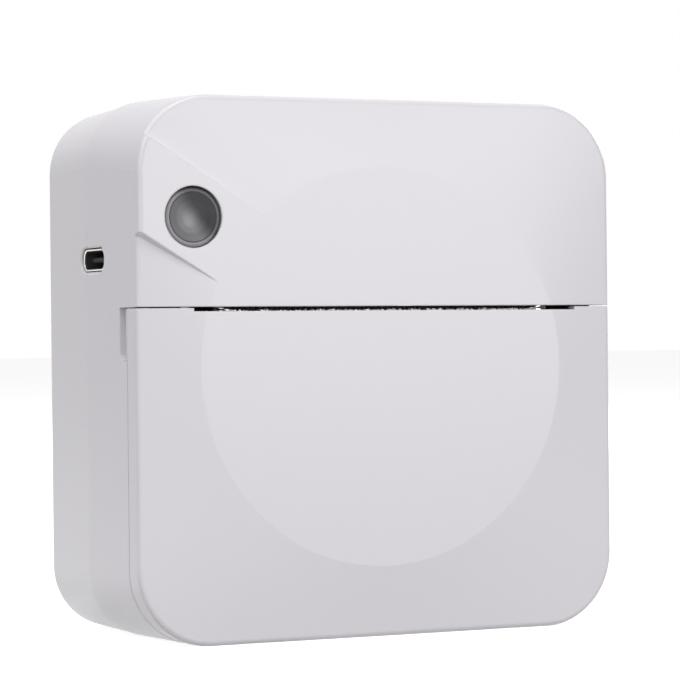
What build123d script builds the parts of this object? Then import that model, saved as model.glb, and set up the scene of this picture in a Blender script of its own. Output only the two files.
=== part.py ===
from build123d import *
import math
import os

os.makedirs("parts", exist_ok=True)

# Portable thermal printer, standing on its lower side, in millimetres.
# X runs along the width, Y from the face (-Y) to the back (+Y), Z is up from the standing face.

# Case: a rounded-square box in two shells, widest at the seam between them
width = 83.8
height = 85.0
depth = 40.5
face_rise = 1.0
front_depth = 20.0
front_draft = 0.45
rear_draft = 0.4
seam_step = 0.2
seam_gap = 0.1
face_corner = 12.0
shell_corner = 10.4
wall = 1.8
face_wall = 2.4
face_fillet = 0.8
rear_fillet = 1.2
foot_trim = 0.02
disc_radius = 31.4
tongue_height = 1.2
tongue_wall = 0.8
tongue_gap = 0.1

# Raised band and power button
button_inset = 9.5
button_drop = 19.3
button_d = 9.3
button_gap = 0.1
button_set_back = 0.2
button_travel = 0.5
button_seat = 0.05
button_rim = 0.75
button_edge = 0.45
button_neck_d = 3.4
dish_depth = 0.9
button_flange = 0.7
button_flange_height = 1.0
band_width = 12.9
band_angle = 31.0
band_side_angle = 30.0
band_run = 14.0

# Paper slot, and the lid that folds down on two pins
slot_drop_from_top = 33.0
lid_gap = 0.2
slot_drop = 0.5
slot_side_room = 5.0
rim_depth = 3.85
side_gap = 0.15
knuckle_r = 2.0
knuckle_end_gap = 0.25
toe_gap = 0.15
floor_clear = 0.1
hinge_pin_d = 1.4
hinge_pin_length = 13.6
hinge_pin_inset = 0.3
ear_width = 6.0
ear_inset = 8.2
ear_r = 1.4
ear_front_gap = 0.1
ear_side_gap = 0.25
ear_reach = 3.0
ear_foot = 1.8
tab_depth = 1.55
tab_height = 7.8
tab_step = 0.3
tab_wall = 1.0
tab_gap = 0.1
finger_gap = 1.4
finger_corner = 1.2

# Roll bay: takes a 57 mm roll, 30 mm across, the widest and thickest that the case leaves room for
side_room = 13.4
roll_side_clear = 0.5
roll_clear = 1.2
bay_wall = 1.2
bay_gap = 0.2
bay_lip = 6.0
bay_nose = 8.0
sensor_offset = 10.0
sensor_width = 3.4
sensor_depth = 2.7
sensor_height = 1.1
engine_x = 1.1

# Running and seating clearances, on the radius
run_clear = 0.05
seat_clear = 0.03
screw_clear = 0.15

# Platen roller and its bearings, on the lid
platen_behind_face = 8.25
platen_below_slot = 8.0
platen_above_bay = 7.2
platen_d = 9.6
platen_core_d = 5.0
platen_end_d = 3.0
platen_end_gap = 0.4
platen_press = 0.02
roller_side = 0.2
core_inset = 0.4
cheek_wall = 1.4
cheek_gap = 0.05
bush_d = 5.0
bush_flange_d = 6.6
bush_flange = 0.6
bush_wall = 1.3
bush_slot_clear = 0.06
liner_wall = 1.2
lug_drop = 13.0

# Print engine: frame, head, motor and gears
frame_wall = 1.2
frame_gap = 0.1
shelf_gap = 0.3
shelf_wall = 1.3
head_gap = 0.1
head_plate = 0.8
head_plate_height = 11.0
head_plate_low = 3.0
head_chips = 0.5
head_chips_height = 2.0
sink_wall = 3.0
sink_height = 15.0
sink_side_gap = 0.8
fin_depth = 1.4
fin_gap = 1.2
head_rod_d = 2.0
head_rod_drop = 4.6
spring_d = 4.0
spring_wire = 0.5
spring_length = 3.9
spring_seat = 0.45
spring_inset = 16.0
spring_rise = 4.5
web_window = 5.0
web_window_pitch = 7.6
web_window_margin = 4.0
engine_screw_left = 15.9
engine_screw_right = 6.1
engine_screw_back = 10.1
engine_post_d = 5.2
module = 0.4
pinion_teeth = 12
wheel_teeth = 32
small_teeth = 12
idler_teeth = 20
platen_teeth = 24
gear_width = 1.8
wheel_width = 1.5
gear_plate_gap = 0.6
gear_layer_gap = 0.2
backlash = 0.1
post_d = 1.6
motor_d = 12.0
motor_length = 11.6
motor_flange = 0.8
motor_boss_d = 5.6
motor_ear_d = 3.8
motor_behind_platen = 20.0
motor_above_platen = 2.0
motor_shaft_d = 1.5
plate_past_motor = 5.6
gear_cover_wall = 1.0
cover_gap = 0.5
cover_leg_d = 2.6

# Tear bar under the upper housing's edge
tear_back = 2.8
tear_side_room = 0.4
tear_depth = 4.4
tear_wall = 0.7
tear_pitch = 1.0
tear_tooth = 0.7
tear_peg_d = 1.6
tear_peg_inset = 6.9
tear_peg_back = 1.6

# Electronics
port_before_seam = 1.65
port_drop = 25.35
port_bevel = 0.45
port_open_width = 10.4
port_open_height = 3.8
port_width = 8.94
port_height = 3.2
port_length = 7.3
port_recess = 1.2
port_sheet = 0.3
port_tongue_width = 6.7
port_tongue = 0.7
board_wall = 1.6
board_back_gap = 2.42
board_front = 2.6
board_side_gap = 0.5
board_right_room = 5.9
board_rib = 2.4
board_rib_wall = 1.2
board_seat = 1.4
board_rib_inset = 8.0
board_screw_back = 3.6
battery_side_room = 16.9
battery_depth_room = 10.5
battery_height = 10.0
battery_back = 0.6
battery_lift = 7.2
battery_gap = 0.1
battery_fence = 5.0
battery_shelf_wall = 1.2
battery_shelf_inset = 8.0
switch_side = 6.0
switch_body = 3.4
switch_back = 4.2
switch_stem_d = 3.0
switch_stem = 0.6
small_board_wall = 1.2

# Blocks on the main board: in from its end, back from its front edge or (below 0) its back edge, then size
left_blocks = ((17.6, -10.5, 8.0, 8.0, 1.1), (13.6, 3.4, 7.0, 4.0, 1.8), (30.6, -7.5, 9.0, 4.5, 4.2))
right_blocks = ((27.0, 3.5, 7.0, 7.0, 1.0), (2.5, 3.5, 6.0, 6.0, 2.6), (18.0, -7.5, 8.0, 5.0, 4.2))
capacitor_d = 5.0
capacitor_height = 5.2
capacitor_behind_screw = 5.83

# Small fastenings inside
stake_d = 1.2
stake_x = 5.6
stake_z = 4.5
stake_shoulder = 0.7
stake_proud = 0.4
stake_margin = 1.2
lug_wall = 1.5
liner_gap = 1.3
liner_rib = 1.0
liner_rib_low = 16.0
liner_rib_insets = (14.0, 22.0)
liner_screw_d = 1.7
liner_screw_head_d = 3.0
liner_screw_head = 0.8
liner_screw_length = 3.4
liner_screw_inset = 7.0
liner_screw_drop = 13.0
liner_screw_low = 12.0
liner_boss_d = 4.8
small_screw_d = 1.7
small_screw_head_d = 3.2
small_screw_head = 1.1
engine_screw_length = 4.6
board_screw_length = 4.4
screw_post = 3.8

# Screws that close the case
screw_d = 2.0
screw_head_d = 3.8
screw_head = 1.4
screw_bore_clear = 0.2
screw_seat_clear = 0.3
boss_d = 5.4
boss_inset = 6.7
top_boss_drop = 7.4
boss_behind_rim = 1.2
eye_d = 4.8
screw_seat_depth = 9.0
screw_grip = 5.0

# Places worked out from the sizes above: case, slot and hinge
half = width / 2
face_y = -depth / 2
edge_y = face_y + face_rise
seam_y = edge_y + front_depth
back_y = depth / 2
inner_y = face_y + face_wall
floor_z = wall
slot_z = height - slot_drop_from_top
lid_top = slot_z - lid_gap
rim_y = edge_y + rim_depth
hinge_y = rim_y - knuckle_r
hinge_z = knuckle_r + floor_clear
knuckle_half = half - front_draft - face_corner - knuckle_end_gap
ear_x = knuckle_half - ear_inset
button_x = button_inset - half
button_z = height - button_drop
boss_x = half - boss_inset
boss_zs = (boss_inset, height - top_boss_drop)

# Places of the roll bay: the roll is as thick as the depth and the height under the slot allow
paper_width = width - 2 * side_room
slot_width = paper_width + 2 * slot_side_room
roll_stack = face_wall + liner_gap + liner_wall + 2 * roll_clear + bay_wall + bay_gap + wall
roll_tower = wall + bay_gap + 2 * bay_wall + 2 * roll_clear + platen_above_bay + platen_below_slot
roll_d = min(depth - roll_stack, slot_z - roll_tower)
bay_r = roll_d / 2 + roll_clear
bay_half = paper_width / 2 + roll_side_clear
bay_left = engine_x - bay_half
bay_right = engine_x + bay_half
bay_y = face_y + face_wall + liner_gap + liner_wall + bay_r
bay_z = floor_z + bay_gap + bay_wall + bay_r
bay_top = bay_z + bay_r + bay_wall

# Places of the platen, head and frame
platen_y = face_y + platen_behind_face
platen_z = slot_z - platen_below_slot
bay_front = platen_y - 0.2
bay_mouth = platen_y + bay_lip
roller_left = engine_x - paper_width / 2 - roller_side
roller_right = engine_x + paper_width / 2 + roller_side
plate_room = platen_end_gap + cheek_wall + cheek_gap + bush_flange + frame_gap
left_plate = roller_left - plate_room - frame_wall
right_plate = roller_right + plate_room
sink_y = platen_y + platen_d / 2 + head_gap + head_plate
web_y = sink_y + sink_wall + spring_length
rod_y0 = sink_y + sink_wall / 2
rod_z0 = platen_z - head_rod_drop
plate_front = platen_y - 3.0
spring_xs = (bay_left + spring_inset, bay_right - spring_inset)
spring_z = platen_z + spring_rise
engine_screw_xs = (bay_left + engine_screw_left, bay_right - engine_screw_right)
engine_screw_y = bay_y + engine_screw_back

# Places of the gears: the idler lies where the platen gear leaves it squarely as the lid opens
gear_x1 = left_plate - gear_plate_gap
gear_x0 = gear_x1 - gear_width
wheel_x0 = gear_x0 - gear_layer_gap - wheel_width
cover_x0 = wheel_x0 - cover_gap - gear_cover_wall
motor_x0 = left_plate + frame_wall
motor_x1 = motor_x0 + motor_length
motor_y = platen_y + motor_behind_platen
motor_z = platen_z + motor_above_platen
plate_back = motor_y + plate_past_motor
to_idler = math.atan2(hinge_y - platen_y, platen_z - hinge_z)
idler_reach = module * (platen_teeth + idler_teeth) / 2
idler_y = platen_y + idler_reach * math.cos(to_idler)
idler_z = platen_z + idler_reach * math.sin(to_idler)
small_reach = module * (idler_teeth + small_teeth) / 2
pinion_reach = module * (wheel_teeth + pinion_teeth) / 2
span = math.hypot(motor_y - idler_y, motor_z - idler_z)
to_motor = math.atan2(motor_z - idler_z, motor_y - idler_y)
lift = math.acos((small_reach ** 2 + span ** 2 - pinion_reach ** 2) / (2 * small_reach * span))
to_wheel = to_motor + lift
wheel_y = idler_y + small_reach * math.cos(to_wheel)
wheel_z = idler_z + small_reach * math.sin(to_wheel)

# Places of the electronics
port_y = seam_y - port_before_seam
port_z = height - port_drop
board_y = port_y - port_width / 2 - board_front
board_back = back_y - wall - board_back_gap
board_top = port_z - port_height / 2
board_left = wall + board_side_gap - half
board_right = half - board_right_room
frame_top = board_top - board_wall
board_screw_y = web_y + board_screw_back
board_screw_xs = engine_screw_xs
battery_width = width - 2 * battery_side_room
battery_depth = depth - battery_depth_room
battery_y = battery_back
battery_z = board_top + battery_lift
battery_left = engine_x - battery_width / 2
battery_right = engine_x + battery_width / 2
switch_y = face_y + button_set_back + switch_back
small_board_y = switch_y + switch_body
stake_places = ((button_x - stake_x, button_z + stake_z), (button_x + stake_x, button_z - stake_z))
leg_y = plate_back - 1.8
cover_legs = ((leg_y, frame_top - 3.0), (leg_y, bay_top + 3.4), (wheel_y + 3.8, bay_top + 3.2))

# Places of the tear bar and the lid's inner moulding
shelf_back = platen_y - 0.5
tear_y = face_y + tear_back
tear_width = paper_width + 2 * tear_side_room
tear_peg_y = tear_y + tear_depth - tear_peg_back
tear_peg_reach = tear_width / 2 - tear_peg_inset
tear_peg_xs = (engine_x - tear_peg_reach, engine_x, engine_x + tear_peg_reach)
liner_y = face_y + face_wall + liner_gap
liner_rib_xs = [engine_x + side * (bay_half - inset) for side in (-1, 1) for inset in liner_rib_insets]
liner_screw_x = bay_half - liner_screw_inset
liner_screw_top = platen_z - liner_screw_drop
liner_screws = (
    (engine_x - liner_screw_x, liner_screw_top), (engine_x + liner_screw_x, liner_screw_top),
    (engine_x, liner_screw_low),
)


def box(x0, x1, y0, y1, z0, z1):
    """A block between two corners."""
    return Pos((x0 + x1) / 2, (y0 + y1) / 2, (z0 + z1) / 2) * Box(x1 - x0, y1 - y0, z1 - z0)


def rod_x(x0, x1, y, z, r):
    """A round bar along X."""
    return extrude(Plane((x0, y, z), x_dir=(0, 1, 0), z_dir=(1, 0, 0)) * Circle(r), x1 - x0)


def rod_y(y0, y1, x, z, r):
    """A round bar along Y."""
    return extrude(Plane((x, y0, z), x_dir=(-1, 0, 0), z_dir=(0, 1, 0)) * Circle(r), y1 - y0)


def rod_z(z0, z1, x, y, r):
    """A round bar along Z."""
    return extrude(Plane((x, y, z0)) * Circle(r), z1 - z0)


def side_view(x):
    """The plane at x whose own axes are Y and Z."""
    return Plane((x, 0, 0), x_dir=(0, 1, 0), z_dir=(1, 0, 0))


def face_view(y):
    """The plane at y whose own axes are X and Z, seen from the front."""
    return Plane((0, y, 0), x_dir=(1, 0, 0), z_dir=(0, -1, 0))


def group(shapes):
    """Separate solids kept in one node."""
    return Compound([s for shape in shapes for s in shape.solids()])


def outline(y, inset, corner, floor=-foot_trim):
    """The case's rounded square at depth y, drawn in by inset on its sides and top."""
    tall = height - inset - floor
    return face_view(y) * Pos(0, floor + tall / 2) * RectangleRounded(width - 2 * inset, tall, corner)


def tapered(y0, inset0, corner0, y1, inset1, corner1, floor=-foot_trim):
    """The stretch of the case between two depths."""
    return loft([outline(y0, inset0, corner0, floor), outline(y1, inset1, corner1, floor)], ruled=True)


def below_foot():
    """All that lies under the standing face, which is cut flat."""
    return box(-half - 1, half + 1, face_y - 1, back_y + 1, -1, 0)


def disc_ring(y, radius):
    """The face's circle in eight arcs, one for each line and corner of the rounded square."""
    flat_x = half - front_draft - face_corner
    flat_z = height / 2 - face_corner
    corners = [
        (half, -flat_z), (half, flat_z), (flat_x, height / 2), (-flat_x, height / 2),
        (-half, flat_z), (-half, -flat_z), (-flat_x, -height / 2), (flat_x, -height / 2),
    ]
    angles = [math.atan2(z, x) for x, z in corners]
    arcs = []
    for start, end in zip(angles, angles[1:] + angles[:1]):
        if end < start:
            end += 2 * math.pi
        points = [
            (radius * math.cos(a), height / 2 + radius * math.sin(a))
            for a in (start, (start + end) / 2, end)
        ]
        arcs.append(ThreePointArc(*points))
    return face_view(y) * make_face(Wire(arcs))


def front_volume():
    """The front half of the case as a solid: walls, sloping border, flat disc and raised band."""
    walls = tapered(edge_y, front_draft, face_corner, seam_y, 0, shell_corner)
    border = loft([disc_ring(face_y, disc_radius), outline(edge_y, front_draft, face_corner)], ruled=True)
    body = walls + border
    rim = [e for e in body.edges() if abs(e.center().Y - edge_y) < 0.01 and e.length > 1]
    body = fillet(rim, face_fillet)
    slope = front_draft / front_depth
    plain = tapered(face_y, front_draft + slope * face_rise, face_corner, seam_y, 0, shell_corner)
    plain_rim = [e for e in plain.edges() if abs(e.center().Y - face_y) < 0.01]
    plain = fillet(plain_rim, face_fillet)
    spread = face_rise * math.tan(math.radians(band_side_angle))
    length = band_run + half
    top = Rectangle(length, band_width, align=(Align.MAX, Align.CENTER))
    low = Rectangle(length, band_width + 2 * spread, align=(Align.MAX, Align.CENTER))
    turn = Pos(button_x, button_z) * Rot(0, 0, -band_angle) * Pos(band_run, 0)
    strip = loft([face_view(face_y) * turn * top, face_view(edge_y) * turn * low], ruled=True)
    strip += extrude(face_view(edge_y + face_rise) * turn * low, face_rise)
    return body + (plain & strip) - below_foot()


front_solid = front_volume()


def front_cavity():
    """The hollow of the front half."""
    share = (inner_y - edge_y) / front_depth
    inset = front_draft * (1 - share) + wall
    corner = face_corner + (shell_corner - face_corner) * share - wall
    return tapered(inner_y, inset, corner, seam_y + 1, wall, shell_corner - wall, floor_z)


def lid_zone(gap, top, toe):
    """The space round the lid: its top edge, and how far its toe reaches behind the hinge line."""
    up = box(-half - 1, half + 1, face_y - 1, rim_y + gap, hinge_z, top)
    down = box(-half - 1, half + 1, face_y - 1, hinge_y + toe, -1, hinge_z)
    roll = rod_x(-half - 1, half + 1, hinge_y, hinge_z, knuckle_r + gap)
    return up + down + roll


def port_cut():
    """The opening for the charging plug: a slot with round ends and a bevelled mouth, on the seam."""
    slot = SlotOverall(port_open_width, port_open_height)
    mouth = SlotOverall(port_open_width + 2 * port_bevel, port_open_height + 2 * port_bevel)
    outer = Plane((-half, port_y, port_z), x_dir=(0, 1, 0), z_dir=(1, 0, 0))
    cut = extrude(outer.offset(-1) * slot, wall + 2.5)
    cut += loft([outer * mouth, outer.offset(port_bevel) * slot], ruled=True)
    return cut + extrude(outer.offset(-1) * mouth, 1)


def finger_pocket(side):
    """The pocket in the side wall behind the lid's pull tab."""
    y1 = rim_y + tab_depth + finger_gap
    z0 = slot_z - lid_gap - tab_height - side_gap
    profile = Rectangle(y1 - rim_y + 1, slot_z - z0, align=(Align.MAX, Align.MIN))
    place = side_view(0) * Pos(y1, z0) * profile
    low_corner = [v for v in place.vertices() if v.Y > y1 - 0.01 and v.Z < z0 + 0.01]
    place = fillet(low_corner, finger_corner)
    x0 = half - front_draft - tab_step - tab_wall - tab_gap
    cut = extrude(place, half) & box(x0, half + 1, -half, half, 0, height)
    return cut if side > 0 else mirror(cut, Plane.YZ)


def make_front_housing():
    body = front_solid - front_cavity()
    body -= lid_zone(side_gap, slot_z, hinge_z + toe_gap)
    rebate = wall - tongue_wall - tongue_gap
    body -= tapered(
        seam_y - tongue_height - tongue_gap, rebate, shell_corner - rebate,
        seam_y + 1, rebate, shell_corner - rebate, rebate,
    )
    shelf_x = slot_width / 2 + 1.5
    shelf_top = slot_z + shelf_wall
    body += box(engine_x - shelf_x, engine_x + shelf_x, inner_y - 0.5, shelf_back, slot_z, shelf_top)
    for x in tear_peg_xs:
        body += rod_z(slot_z - tear_wall, slot_z + 0.5, x, tear_peg_y, tear_peg_d / 2)
    for x in (-boss_x, boss_x):
        for z in boss_zs:
            start = rim_y + boss_behind_rim if z < slot_z else inner_y - 0.5
            body += rod_y(start, seam_y, x, z, boss_d / 2) & front_solid
    for x in (-boss_x, boss_x):
        for z in boss_zs:
            body -= rod_y(seam_y - screw_grip - 1, seam_y + 1, x, z, screw_d / 2 + seat_clear)
    for x in (-ear_x, ear_x):
        body += hinge_ear(x)
    for x, z in stake_places:
        body += rod_y(inner_y - 0.5, small_board_y, x, z, stake_d / 2 + stake_shoulder)
        body += rod_y(inner_y - 0.5, small_board_y + small_board_wall + stake_proud, x, z, stake_d / 2)
    body -= rod_y(face_y - 1, inner_y + 1, button_x, button_z, button_d / 2 + button_gap)
    body -= port_cut()
    body -= finger_pocket(1)
    body -= finger_pocket(-1)
    return body


def hinge_ear(x):
    """An ear on the housing's floor that reaches into the lid's knuckle."""
    x0 = x - ear_width / 2
    x1 = x + ear_width / 2
    end = rim_y + ear_reach
    round_end = rod_x(x0, x1, hinge_y, hinge_z, ear_r)
    arm = box(x0, x1, hinge_y, end, hinge_z - ear_r, hinge_z + ear_r)
    foot = box(x0, x1, end - ear_foot, end, 0.3, hinge_z + ear_r)
    hole = rod_x(x0 - 1, x1 + 1, hinge_y, hinge_z, hinge_pin_d / 2 + run_clear)
    return round_end + arm + foot - hole


def make_rear_shell():
    end_inset = seam_step + rear_draft
    top_y = seam_y + seam_gap
    full = tapered(top_y, seam_step, shell_corner, back_y, end_inset, shell_corner)
    rim = [e for e in full.edges() if abs(e.center().Y - back_y) < 0.01]
    body = fillet(rim, rear_fillet) - below_foot()
    outer = wall - tongue_wall
    body += tapered(
        seam_y - tongue_height, outer, shell_corner - outer,
        top_y + 2, outer, shell_corner - outer, outer,
    )
    corner = shell_corner - wall
    front = seam_y - tongue_height - 1
    body -= tapered(front, wall, corner, back_y - wall, end_inset + wall, corner, floor_z)
    for x in (-boss_x, boss_x):
        for z in boss_zs:
            start = seam_y + lug_wall if z < slot_z else seam_y
            post = rod_y(start, back_y - 1, x, z, boss_d / 2)
            body += post & (full + rod_y(seam_y, top_y, x, z, boss_d / 2))
    for x in (-boss_x, boss_x):
        for z in boss_zs:
            body -= rod_y(seam_y - 1, back_y + 1, x, z, screw_d / 2 + screw_bore_clear)
            body -= rod_y(back_y - screw_seat_depth, back_y + 1, x, z, screw_head_d / 2 + screw_seat_clear)
    inside = back_y - wall + 0.5
    shelf_low = battery_z - battery_shelf_wall
    shelf_front = battery_y - battery_depth / 2 + battery_shelf_inset
    body += box(battery_left, battery_right, shelf_front, inside, shelf_low, battery_z)
    for x in (battery_left - 1.2, battery_right + 0.2):
        body += box(x, x + 1, battery_y, inside, shelf_low, battery_z + battery_fence)
    for x in (board_rib_inset - half, half - board_rib_inset):
        body += box(
            x - board_rib_wall / 2, x + board_rib_wall / 2, board_back - board_seat, inside,
            frame_top - board_rib, frame_top,
        )
    return body - port_cut()


def make_lid():
    body = front_solid & lid_zone(0, lid_top, 0)
    body -= front_cavity()
    knuckle = rod_x(-knuckle_half, knuckle_half, hinge_y, hinge_z, knuckle_r)
    fill = box(-knuckle_half, knuckle_half, inner_y - 0.5, hinge_y, floor_z - 0.5, hinge_z + knuckle_r)
    body += (knuckle + fill) & front_solid
    gap = ear_width / 2 + ear_side_gap
    for x in (-ear_x, ear_x):
        body -= box(x - gap, x + gap, hinge_y - ear_r - ear_front_gap, rim_y + 1, -1, hinge_z + knuckle_r + 1)
    for pin in make_hinge_pins().solids():
        x0 = pin.bounding_box().min.X
        x1 = pin.bounding_box().max.X
        outward = (-1, 0) if x0 < 0 else (0, 1)
        bore_left = x0 - 0.5 + outward[0]
        bore_right = x1 + 0.5 + outward[1]
        body -= rod_x(bore_left, bore_right, hinge_y, hinge_z, hinge_pin_d / 2 + seat_clear)
    wide = slot_width / 2
    body -= box(engine_x - wide, engine_x + wide, face_y - 1, rim_y, lid_top - slot_drop, slot_z)
    for side in (-1, 1):
        body += pull_tab(side)
    for x, z in liner_screws:
        body += rod_y(inner_y - 0.5, liner_y, x, z, liner_boss_d / 2)
        body -= rod_y(inner_y - 1.2, liner_y + 1, x, z, liner_screw_d / 2 + seat_clear)
    return body


def pull_tab(side):
    """The tongue at the lid's upper corner that a fingernail pulls."""
    z0 = lid_top - tab_height
    x1 = half - front_draft - tab_step
    tab = box(x1 - tab_wall, x1, rim_y - 1.5, rim_y + tab_depth, z0, lid_top)
    edges = [e for e in tab.edges().filter_by(Axis.X) if e.center().Y > rim_y + 1 and e.center().Z < z0 + 1]
    tab = fillet(edges, finger_corner / 2)
    return tab if side > 0 else mirror(tab, Plane.YZ)


def make_hinge_pins():
    x1 = knuckle_half - hinge_pin_inset
    pin = rod_x(x1 - hinge_pin_length, x1, hinge_y, hinge_z, hinge_pin_d / 2)
    return group([mirror(pin, Plane.YZ), pin])


def make_bay():
    """The tub that holds the roll: a round trough, open to the front, between two end walls."""
    outer_r = bay_r + bay_wall
    low = bay_z - outer_r
    left = bay_left - bay_wall
    right = bay_right + bay_wall
    trough = rod_x(left, right, bay_y, bay_z, outer_r)
    shape = trough & box(left, right, bay_y - 1, back_y, low - 1, bay_top + 1)
    shape += box(left, right, bay_front, bay_y, low, bay_top)
    nose = Polyline(
        (bay_front - 1, bay_z + bay_nose), (bay_front - 1, bay_top + 1), (bay_mouth, bay_top + 1),
        (bay_mouth, bay_top - bay_wall), (bay_front, bay_z + bay_nose + 2), close=True,
    )
    shape -= extrude(side_view(left - 1) * make_face(nose), right - left + 2)
    roll_space = rod_x(bay_left, bay_right, bay_y, bay_z, bay_r)
    shape -= roll_space + box(bay_left, bay_right, bay_front - 1, bay_y, bay_z - bay_r, bay_z + bay_r)
    for x in engine_screw_xs:
        shape += rod_z(bay_top - 6, bay_top + frame_gap, x, engine_screw_y, engine_post_d / 2) - roll_space
        shape -= rod_z(bay_top - screw_post, bay_top + 1, x, engine_screw_y, small_screw_d / 2 + seat_clear)
    z = boss_zs[0]
    eye_r = eye_d / 2
    for side, near in ((-1, bay_left - 0.5), (1, bay_right + 0.5)):
        far = side * boss_x
        arm = box(min(near, far), max(near, far), seam_y, seam_y + lug_wall, z - eye_r, z + eye_r)
        shape += arm + rod_y(seam_y, seam_y + lug_wall, far, z, eye_r)
        shape -= rod_y(seam_y - 1, seam_y + lug_wall + 1, far, z, screw_d / 2 + screw_bore_clear)
    return shape


def make_lid_liner():
    """The lid's inner moulding: a wall that closes the roll bay and two cheeks for the platen."""
    left = roller_left - platen_end_gap - cheek_wall
    right = roller_right + platen_end_gap + cheek_wall
    under_roller = platen_z - platen_d / 2
    inside = liner_y + liner_wall
    body = box(left, right, liner_y, inside, hinge_z + knuckle_r + 1.5, under_roller - 1.2)
    for x in liner_rib_xs:
        body += box(
            x - liner_rib / 2, x + liner_rib / 2, inside - 0.1, inside + liner_rib,
            liner_rib_low, under_roller - 3,
        )
    top = platen_z + bush_d / 2 + bush_wall
    back = platen_y + bush_d / 2 + bush_wall
    lug = Polyline(
        (liner_y, platen_z - lug_drop), (liner_y, platen_z + 2.4), (platen_y - 1.6, top),
        (platen_y + 1.6, top), (back, platen_z + 1.2), (back, platen_z - 1.6),
        (liner_y + 2.2, platen_z - lug_drop), close=True,
    )
    for x in (left, right - cheek_wall):
        body += extrude(side_view(x) * make_face(lug), cheek_wall)
        body -= rod_x(x - 1, x + cheek_wall + 1, platen_y, platen_z, bush_d / 2 + seat_clear)
    for x, z in liner_screws:
        body -= rod_y(liner_y - 1, inside + 1, x, z, liner_screw_d / 2 + screw_clear)
    return body


def make_bushings():
    """The platen's two flanged bearings, each through a cheek and into a side plate's slot."""
    inner = roller_right + platen_end_gap
    flange = inner + cheek_wall + cheek_gap
    outer = right_plate + frame_wall + 0.5
    body = rod_x(inner, outer, platen_y, platen_z, bush_d / 2)
    body += rod_x(flange, flange + bush_flange, platen_y, platen_z, bush_flange_d / 2)
    body -= rod_x(inner - 1, outer + 1, platen_y, platen_z, platen_end_d / 2 + run_clear)
    return group([mirror(body, Plane.YZ.offset(engine_x)), body])


def platen_core():
    """The thick part of the platen's shaft, inside the rubber."""
    return rod_x(roller_left + core_inset, roller_right - core_inset, platen_y, platen_z, platen_core_d / 2)


def make_platen_shaft():
    shaft = rod_x(gear_x0 - 0.3, right_plate + frame_wall + 0.7, platen_y, platen_z, platen_end_d / 2)
    return shaft + platen_core()


def make_platen_roller():
    body = rod_x(roller_left, roller_right, platen_y, platen_z, platen_d / 2)
    body -= rod_x(roller_left - 1, roller_right + 1, platen_y, platen_z, platen_end_d / 2 + platen_press)
    return body - platen_core()


def toothed(teeth, angle, y, z, x0, x1):
    """A gear with one tooth centred at angle, counted from Y towards Z."""
    pitch_r = module * teeth / 2
    rows = (
        (pitch_r - 1.25 * module, 0.5 * math.pi * module * 1.02),
        (pitch_r, 0.5 * math.pi * module - backlash),
        (pitch_r + 0.55 * module, 0.34 * math.pi * module - backlash),
        (pitch_r + 0.95 * module, 0.22 * math.pi * module - backlash / 2),
    )
    points = []
    for tooth in range(teeth):
        middle = angle + 2 * math.pi * tooth / teeth
        for r, thick in rows:
            a = middle - thick / 2 / r
            points.append((r * math.cos(a), r * math.sin(a)))
        for r, thick in reversed(rows):
            a = middle + thick / 2 / r
            points.append((r * math.cos(a), r * math.sin(a)))
    face = side_view(x0) * Pos(y, z) * make_face(Polyline(*points, close=True))
    return extrude(face, x1 - x0)


def meshed(angle, teeth, direction, next_teeth):
    """The tooth angle of the next gear in a train, so that its gap meets this gear's tooth."""
    share = (direction - angle) / (2 * math.pi / teeth)
    return direction + math.pi + share * 2 * math.pi / next_teeth + math.pi / next_teeth


idler_angle = meshed(to_idler, platen_teeth, to_idler, idler_teeth)
wheel_angle = meshed(idler_angle, idler_teeth, to_wheel, small_teeth)
wheel_to_motor = math.atan2(motor_z - wheel_z, motor_y - wheel_y)
pinion_angle = meshed(wheel_angle, wheel_teeth, wheel_to_motor, pinion_teeth)


def make_platen_gear():
    body = toothed(platen_teeth, to_idler, platen_y, platen_z, gear_x0, gear_x1)
    return body - rod_x(gear_x0 - 1, gear_x1 + 1, platen_y, platen_z, platen_end_d / 2)


def make_idler_gear():
    body = toothed(idler_teeth, idler_angle, idler_y, idler_z, gear_x0, gear_x1)
    body += rod_x(gear_x1, gear_x1 + gear_plate_gap / 2, idler_y, idler_z, post_d)
    return body - rod_x(gear_x0 - 1, gear_x1 + 1, idler_y, idler_z, post_d / 2 + run_clear)


def make_reduction_gear():
    """Two toothed rows in one moulding: the small one meets the idler, the large one the motor."""
    layer = gear_x0 - gear_layer_gap
    body = toothed(small_teeth, wheel_angle, wheel_y, wheel_z, layer, gear_x1)
    body += toothed(wheel_teeth, wheel_angle, wheel_y, wheel_z, wheel_x0, layer)
    dish = rod_x(wheel_x0 - 0.1, wheel_x0 + 0.4, wheel_y, wheel_z, module * wheel_teeth / 2 - 1.6)
    hub = rod_x(wheel_x0 - 0.2, wheel_x0 + 0.5, wheel_y, wheel_z, post_d / 2 + 1.2)
    return body - dish + hub - rod_x(wheel_x0 - 1, gear_x1 + 1, wheel_y, wheel_z, post_d / 2 + run_clear)


def make_motor_pinion():
    body = toothed(pinion_teeth, pinion_angle, motor_y, motor_z, wheel_x0 - 0.1, wheel_x0 + wheel_width + 0.1)
    return body - rod_x(wheel_x0 - 1, gear_x1, motor_y, motor_z, motor_shaft_d / 2)


def make_motor_shaft():
    return rod_x(wheel_x0 - 0.3, motor_x1 + 0.8, motor_y, motor_z, motor_shaft_d / 2)


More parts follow.
